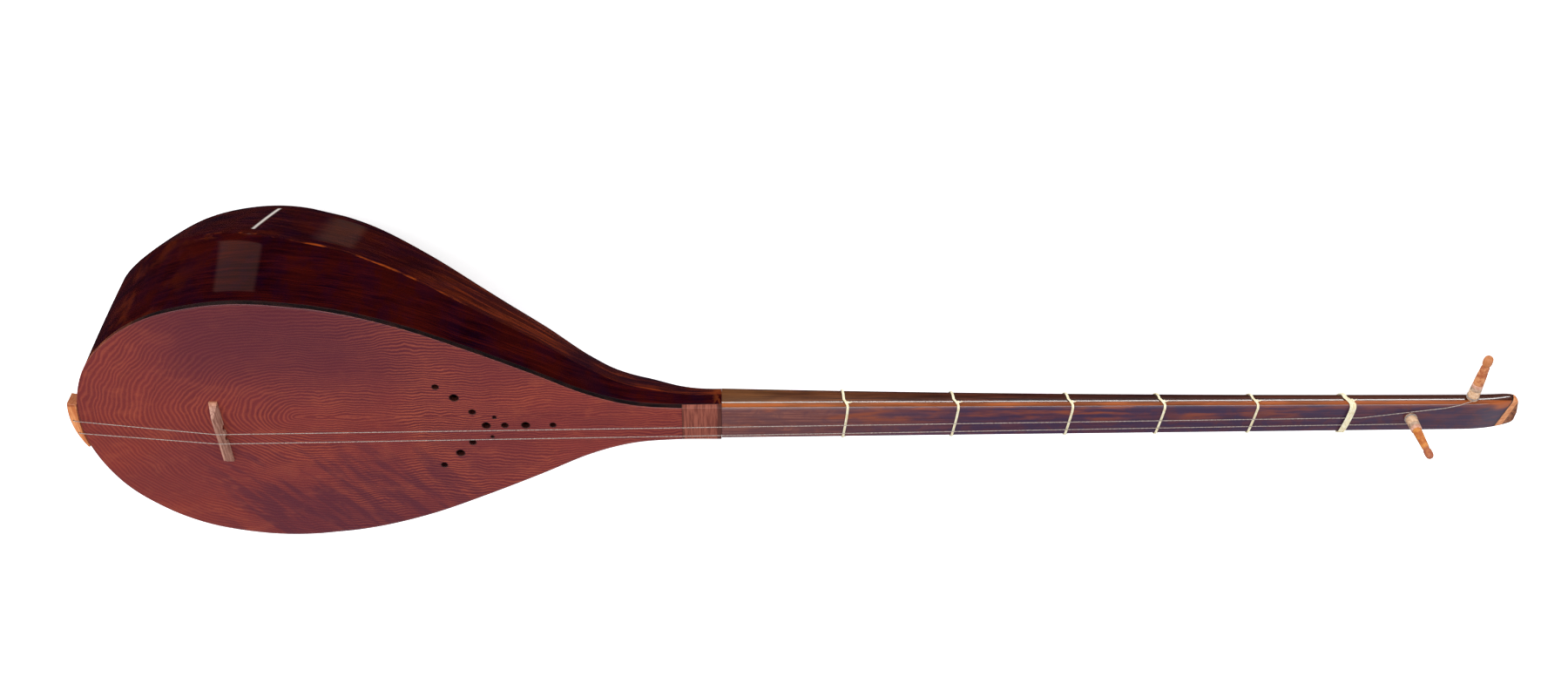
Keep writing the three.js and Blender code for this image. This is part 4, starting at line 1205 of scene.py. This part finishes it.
def make_bridge(material):
    foot, floor = BRIDGE_FOOT_REACH, BRIDGE_GAP
    shoulder = floor + BRIDGE_FOOT_HEIGHT
    outline = [Vector((-foot, floor))]
    for arch in BRIDGE_ARCHES_Y:
        for k in range(17):
            turn = math.pi * (1 - k / 16)
            across = BRIDGE_ARCH_HALF_WIDTH * math.cos(turn)
            outline.append(Vector((arch + across, floor + BRIDGE_ARCH_RISE * math.sin(turn))))
    outline += [Vector((foot, floor)), Vector((foot, shoulder)), Vector((foot - 0.9, shoulder + 0.5))]
    notches = [STRINGS[name]["bridge_y"] - BRIDGE_Y for name in ("string_near", "string_far")]
    outline.append(Vector((BRIDGE_TOP_REACH, BRIDGE_HEIGHT)))
    for notch in notches:
        for offset, dip in ((0.8, 0), (0.45, 0.16), (0, 0.24), (-0.45, 0.16), (-0.8, 0)):
            outline.append(Vector((notch + offset, BRIDGE_HEIGHT - dip)))
    outline.append(Vector((-BRIDGE_TOP_REACH, BRIDGE_HEIGHT)))
    outline += [Vector((-foot + 0.9, shoulder + 0.5)), Vector((-foot, shoulder))]
    vertices, faces = plate([outline], -1, 1, 0.14)
    shaped = []
    for u, v, w in vertices:
        share = min(max((v - 1.1) / (BRIDGE_HEIGHT - 1.1), 0), 1)
        half = BRIDGE_FOOT_HALF_WIDTH + (BRIDGE_TOP_HALF_WIDTH - BRIDGE_FOOT_HALF_WIDTH) * share
        shaped.append(Vector((BRIDGE_X + w * half, BRIDGE_Y + u, v)))
    piece("bridge", shaped, faces, material, sharp=30)


WINDING_REACH = PEG_RADIUS + 0.8
WINDING_MIDDLE = 1.9


def string_route(name):
    string = STRINGS[name]
    tail_x, tail_y = string["tail"]
    start = [
        (tail_x, tail_y, -6), (tail_x, tail_y, 0.7), (tail_x + 0.25, tail_y, 1.2),
        (tail_x + 0.8, tail_y, 1.5), (tail_x + 3, tail_y, 1.9),
        (BRIDGE_X, string["bridge_y"], STRING_OVER_BRIDGE),
        (NUT_X - NUT_HOLD, string["nut_y"], STRING_OVER_NECK),
        (NUT_X + NUT_HOLD, string["nut_y"], STRING_OVER_NECK),
    ]
    if name == "string_far":
        return [*start, (FRONT_PEG.x, FRONT_PEG.y - WINDING_REACH, WINDING_MIDDLE)]
    side = SIDE_PEG.y
    return [
        *start, (SIDE_PEG_X - 21, side - 2.4, 0.85), (SIDE_PEG_X - 11, side - 0.4, 0.15),
        (SIDE_PEG_X - 7, side + 0.7, -0.75),
        (SIDE_PEG_X, side + WINDING_MIDDLE, SIDE_PEG_Z + WINDING_REACH),
    ]


def make_strings(material):
    for name in STRINGS:
        route = resample(string_route(name), STRING_STEP)
        cord = sweep(route, Vector((0, 1, 0)), STRING_RADIUS, sides=8, pitch=STRING_PITCH)
        piece(name, *cord, material, sharp=80)


# ---- pegs ------------------------------------------------------------------------------------------
def peg_profile(reach, slim, depth):
    """Tapered shank in the head, bare shank, ring, handle with a waist, groove and rounded knob."""
    return [
        (0, -depth), (PEG_RADIUS - PEG_TAPER - 0.3, -depth), (PEG_RADIUS - PEG_TAPER, -depth + 0.3),
        (PEG_RADIUS, 0), (PEG_RADIUS, 5), (3.78, 9.9), (3.6, 10.25), (3.35, 10.4), (3.35, 10.55),
        (3.6, 10.75), (3.66, 11.3), (3.66, 12.3), (3.56, 12.9), (3.2 * slim + 0.1, 13.2),
        (3.32 * slim, 13.5), (3.48 * slim, 14.1), (3.5 * slim, 15.5), (3.42 * slim, 18),
        (3.2 * slim, 22), (2.98 * slim, reach - 13), (2.84 * slim, reach - 9.8),
        (2.62 * slim, reach - 9.1), (2.42 * slim, reach - 8.7), (2.38 * slim, reach - 8.3),
        (2.5 * slim, reach - 7.8), (2.85 * slim, reach - 7.2), (3.1 * slim, reach - 6.4),
        (3.2 * slim, reach - 5.2), (3.2 * slim, reach - 3.6), (3.05 * slim, reach - 2.4),
        (2.7 * slim, reach - 1.2), (2.1 * slim, reach - 0.45), (1.2 * slim, reach - 0.08), (0, reach),
    ]


def make_peg(name, reach, slim, depth, place, turn, material):
    vertices, faces = lathe(peg_profile(reach, slim, depth))
    thing = piece(name, [turn @ v + place for v in vertices], faces, material, sharp=50)
    eye, reach = PEG_EYE_RADIUS, 8
    hole_vertices, hole_faces = lathe([(0, -reach), (eye, -reach), (eye, reach), (0, reach)], 24)
    lying = Matrix.Rotation(math.radians(90), 3, "Y")
    lift = Vector((0, 0, PEG_EYE_HEIGHT))
    cut(thing, [([turn @ (lying @ v + lift) + place for v in hole_vertices], hole_faces)])


def make_winding(name, place, turn, start_angle, material):
    """The string's turns round a peg's shank."""
    radius = WINDING_RADIUS
    route = []
    steps = int(WINDING_TURNS * 40)
    for k in range(steps + 1):
        angle = start_angle + 2 * math.pi * WINDING_TURNS * k / steps
        z = WINDING_LOW + (WINDING_HIGH - WINDING_LOW) * k / steps
        route.append(turn @ Vector((radius * math.cos(angle), radius * math.sin(angle), z)) + place)
    axis = turn @ Vector((0, 0, 1))
    cord = sweep(route, axis, WINDING_STRAND, sides=8, pitch=STRING_PITCH)
    piece(name, *cord, material, sharp=80)


def make_pegs(silk):
    front = peg_paint(
        "front_peg_wood", lambda p: p.z, linear(214, 138, 62), linear(184, 100, 40), linear(160, 84, 58),
    )
    side = peg_paint(
        "side_peg_wood", lambda p: p.y - SIDE_PEG.y,
        linear(214, 144, 92), linear(172, 92, 48), linear(186, 112, 60),
    )
    make_peg("peg_front", 40, 0.86, FRONT_PEG_DEPTH, FRONT_PEG, UPRIGHT, front)
    make_peg("peg_side", 38, 1, SIDE_PEG_DEPTH, SIDE_PEG, SIDEWAYS, side)
    make_winding("winding_front", FRONT_PEG, UPRIGHT, -math.pi / 2, silk)
    make_winding("winding_side", SIDE_PEG, SIDEWAYS, 0, silk)


# ---- floor, light and camera -----------------------------------------------------------------------
FLOOR_REACH = 40                 # metres from the middle to each edge
KEY_PLACE = Vector((-0.5, 1.3, 2.1))
KEY_AIM = Vector((-0.1, 0, 0.1))
KEY_SIZE = (2.4, 1.6)
KEY_ENERGY = 30
SIDE_GLINT_WIDTH, SIDE_GLINT_RADIANCE = 11, 26
CORNER_GLINT_WIDTH, CORNER_GLINT_RADIANCE = 60, 9


def make_floor():
    mesh = bpy.data.meshes.new("floor")
    reach = FLOOR_REACH
    corners = [(-reach, -reach, 0), (reach, -reach, 0), (reach, reach, 0), (-reach, reach, 0)]
    mesh.from_pydata(corners, [], [(0, 1, 2, 3)])
    floor = bpy.data.objects.new("floor", mesh)
    bpy.context.scene.collection.objects.link(floor)
    material = bpy.data.materials.new("pale_floor")
    material.use_nodes = True
    shader = material.node_tree.nodes["Principled BSDF"]
    shader.inputs["Base Color"].default_value = (0.9, 0.9, 0.9, 1)
    shader.inputs["Roughness"].default_value = 1
    shader.inputs["Specular IOR Level"].default_value = 0
    shader.inputs["Emission Color"].default_value = (1, 1, 1, 1)
    shader.inputs["Emission Strength"].default_value = 0.7
    mesh.materials.append(material)
    floor.visible_glossy = False
    floor.visible_shadow = False


CAMERA_PLACE = Vector((0.08, 0.711, 0.85))
CAMERA_AIM = Vector((-0.012, 0.079, 0.12))
CAMERA_ROLL = math.radians(-167.4)
CAMERA_LENS = 34.5
GLINT_DISTANCE = 250             # from the neck to the strip lamps that it mirrors
NECK_GLINT_Z = -5.5              # how far down the neck's side its line of light runs
CORNER_GLINT_ANGLE = math.radians(37)


def mirrored(place, normal):
    """The direction, in the instrument's frame, that a glossy surface shows to the camera's place."""
    eye = PLACE.inverted() @ CAMERA_PLACE / MM
    sight = (Vector(place) - eye).normalized()
    return sight - 2 * sight.dot(normal) * normal


def rib_mirrored(line, x, share):
    """The same for the rib that starts at this line of the bowl, at a share of the way across it."""
    across = bowl_point(line + 1, x) - bowl_point(line, x)
    width = across.length
    across.normalize()
    ahead = bowl_point(line, x + 1).lerp(bowl_point(line + 1, x + 1), share)
    behind = bowl_point(line, x - 1).lerp(bowl_point(line + 1, x - 1), share)
    outward = (ahead - behind).cross(across).normalized()
    if outward.y - outward.z < 0:
        outward = -outward
    crowned = RIB_CROWN * 4 * (2 * share - 1) / width
    return mirrored((ahead + behind) / 2, (outward + across * crowned).normalized())


# Two dim windows and one bright slit that the lacquer mirrors. Each lies between two spans along a
# rib, near the line of the bowl that the rib starts at and near the next one: that line, the share
# of the way across and the span there, the same at the other end, its softness and its glow. The
# places follow the photo's highlights, and hold for this camera only.
RIB_REFLECTIONS = [
    (0, 0.01, (115, 140), 0.98, (105, 135), 0.012, (0.8, 0.42, 0.35)),
    (1, 0.1, (122, 124), 1.0, (127, 129), 0.004, (5, 4.7, 4.3)),
    (1, 0.1, (165, 190), 1.0, (165, 190), 0.015, (0.26, 0.17, 0.13)),
]


SHADE_WAY = (-0.2, -0.66, 0.70)     # middle of a dimmer stretch of the surroundings
SHADE_TIGHT, SHADE_LOOSE = (math.cos(math.radians(angle)) for angle in (20, 50))
SHADE_LIGHT = (0.22, 0.21, 0.32)
HORIZON_LOW, HORIZON_HIGH = -0.05, 0.35
LIGHT_BELOW = (0.02, 0.018, 0.025)
LIGHT_ABOVE = (1.0, 1.0, 1.02)


def make_world():
    """Soft white light from above, darker below, with a few dim panels that the lacquer reflects."""
    world = bpy.data.worlds.new("studio")
    bpy.context.scene.world = world
    world.use_nodes = True
    studio = Nodes(world.node_tree)
    direction = studio.add("ShaderNodeTexCoord").outputs["Generated"]

    def facing(way):
        """Cosine of the angle to a direction given in the instrument's frame."""
        return studio.dot(direction, (TURN.to_3x3() @ Vector(way)).normalized())

    def panel(corners, soft):
        """1 inside a four-sided panel seen in these directions, given in order round it."""
        corners = [Vector(corner).normalized() for corner in corners]
        middle = sum(corners, Vector())
        share = None
        for start, end in zip(corners, [*corners[1:], corners[0]]):
            side = start.cross(end).normalized()
            if side.dot(middle) < 0:
                side = -side
            inside = studio.step(facing(side), -soft, soft)
            share = inside if share is None else share * inside
        return share

    height = studio.made("ShaderNodeSeparateXYZ", (direction,)).outputs["Z"]
    rise = studio.step(height, HORIZON_LOW, HORIZON_HIGH)
    color = studio.mix(rise, LIGHT_BELOW, LIGHT_ABOVE)
    shade = studio.step(facing(SHADE_WAY), SHADE_LOOSE, SHADE_TIGHT)
    color = studio.mix(shade, color, SHADE_LIGHT)
    for line, share, span, next_share, next_span, soft, glow in RIB_REFLECTIONS:
        corners = [rib_mirrored(line, x, share) for x in span]
        corners += [rib_mirrored(line, x, next_share) for x in reversed(next_span)]
        color = studio.mix(panel(corners, soft), color, glow)
    background = world.node_tree.nodes["Background"]
    studio.feed(background.inputs["Color"], color)
    background.inputs["Strength"].default_value = 1.0


def lamp_strip(name, z, normal, width, radiance, lit):
    """A long lamp that shows as a line of light along the neck, and is seen only in reflections."""
    ends = []
    for x in (NECK_X, LENGTH):
        place = Vector((x, neck_half_width(x), z))
        ends.append(placed(place + mirrored(place, normal) * GLINT_DISTANCE))
    start, end = ends
    middle_x = (NECK_X + LENGTH) / 2
    toward = placed((middle_x, neck_half_width(middle_x), z))
    along = end - start
    middle = (start + end) / 2
    facing = middle - toward
    facing = (facing - along * facing.dot(along) / along.length_squared).normalized()
    long_side = along.normalized()
    lamp = bpy.data.lights.new(name, "AREA")
    lamp.shape = "RECTANGLE"
    lamp.size = along.length
    lamp.size_y = width * MM
    lamp.energy = radiance * math.pi * lamp.size * lamp.size_y
    thing = bpy.data.objects.new(name, lamp)
    bpy.context.scene.collection.objects.link(thing)
    turn = Matrix((long_side, facing.cross(long_side), facing)).transposed().to_4x4()
    thing.matrix_world = Matrix.Translation(middle) @ turn
    thing.visible_camera = False
    thing.visible_diffuse = False
    thing.light_linking.receiver_collection = lit


def make_lights():
    """One large soft lamp high behind the camera, and two strips that glint along the neck."""
    lamp = bpy.data.lights.new("key", "AREA")
    lamp.shape = "RECTANGLE"
    lamp.size, lamp.size_y = KEY_SIZE
    lamp.energy = KEY_ENERGY
    key = bpy.data.objects.new("key", lamp)
    bpy.context.scene.collection.objects.link(key)
    key.location = KEY_PLACE
    key.rotation_mode = "QUATERNION"
    key.rotation_quaternion = (KEY_AIM - key.location).to_track_quat("-Z", "Y")
    lit = bpy.data.collections.new("glinting")
    lit.objects.link(bpy.data.objects["neck_look"])
    lean = 2 * SIDE_LEAN * (NECK_SHOULDER + NECK_GLINT_Z) / (NECK_SHOULDER - NECK_CORNER) ** 2
    side_normal = Vector((0, 1, lean)).normalized()
    corner_normal = Vector((0, math.cos(CORNER_GLINT_ANGLE), math.sin(CORNER_GLINT_ANGLE)))
    lamp_strip("side_glint", NECK_GLINT_Z, side_normal, SIDE_GLINT_WIDTH, SIDE_GLINT_RADIANCE, lit)
    width, radiance = CORNER_GLINT_WIDTH, CORNER_GLINT_RADIANCE
    lamp_strip("corner_glint", -NECK_CORNER / 2, corner_normal, width, radiance, lit)


def make_camera():
    """Camera at the photograph's angle: above the +Y side, with its upper edge turned to that side."""
    data = bpy.data.cameras.new("camera")
    data.lens = CAMERA_LENS
    data.sensor_width = 36
    data.clip_start = 0.01
    data.clip_end = 100
    camera = bpy.data.objects.new("camera", data)
    bpy.context.scene.collection.objects.link(camera)
    look = (CAMERA_AIM - CAMERA_PLACE).to_track_quat("-Z", "Y").to_matrix().to_4x4()
    camera.matrix_world = Matrix.Translation(CAMERA_PLACE) @ look @ Matrix.Rotation(CAMERA_ROLL, 4, "Z")
    bpy.context.scene.camera = camera


# ---- assembly --------------------------------------------------------------------------------------
for stray in [thing for thing in bpy.context.scene.objects if thing.name in ("Cube", "Light", "Camera")]:
    bpy.data.objects.remove(stray)

binding = edge_paint()
silk = cord_paint()
gut = gut_paint()
make_ribs([rib_paint("lacquered_side_rib", False), rib_paint("lacquered_rib", True)])
make_soundboard(soundboard_paint())
make_edge_strips(binding)
make_joint_cover(cover_paint())
make_neck({
    "neck": neck_paint(), "head_veneer": veneer_paint(),
    "head_lamination": lamination_paint(), "head_tip": tip_paint(),
})
make_tailpiece(tailpiece_paint())
make_bridge(bridge_paint())
make_strings(silk)
make_frets(gut)
make_nut(gut)
make_pegs(silk)
frame["nodes"]["tail_block"].data.materials.clear()
frame["nodes"]["tail_block"].data.materials.append(block_paint())
make_floor()
make_world()
make_lights()
make_camera()
bpy.context.scene.view_settings.view_transform = "Standard"
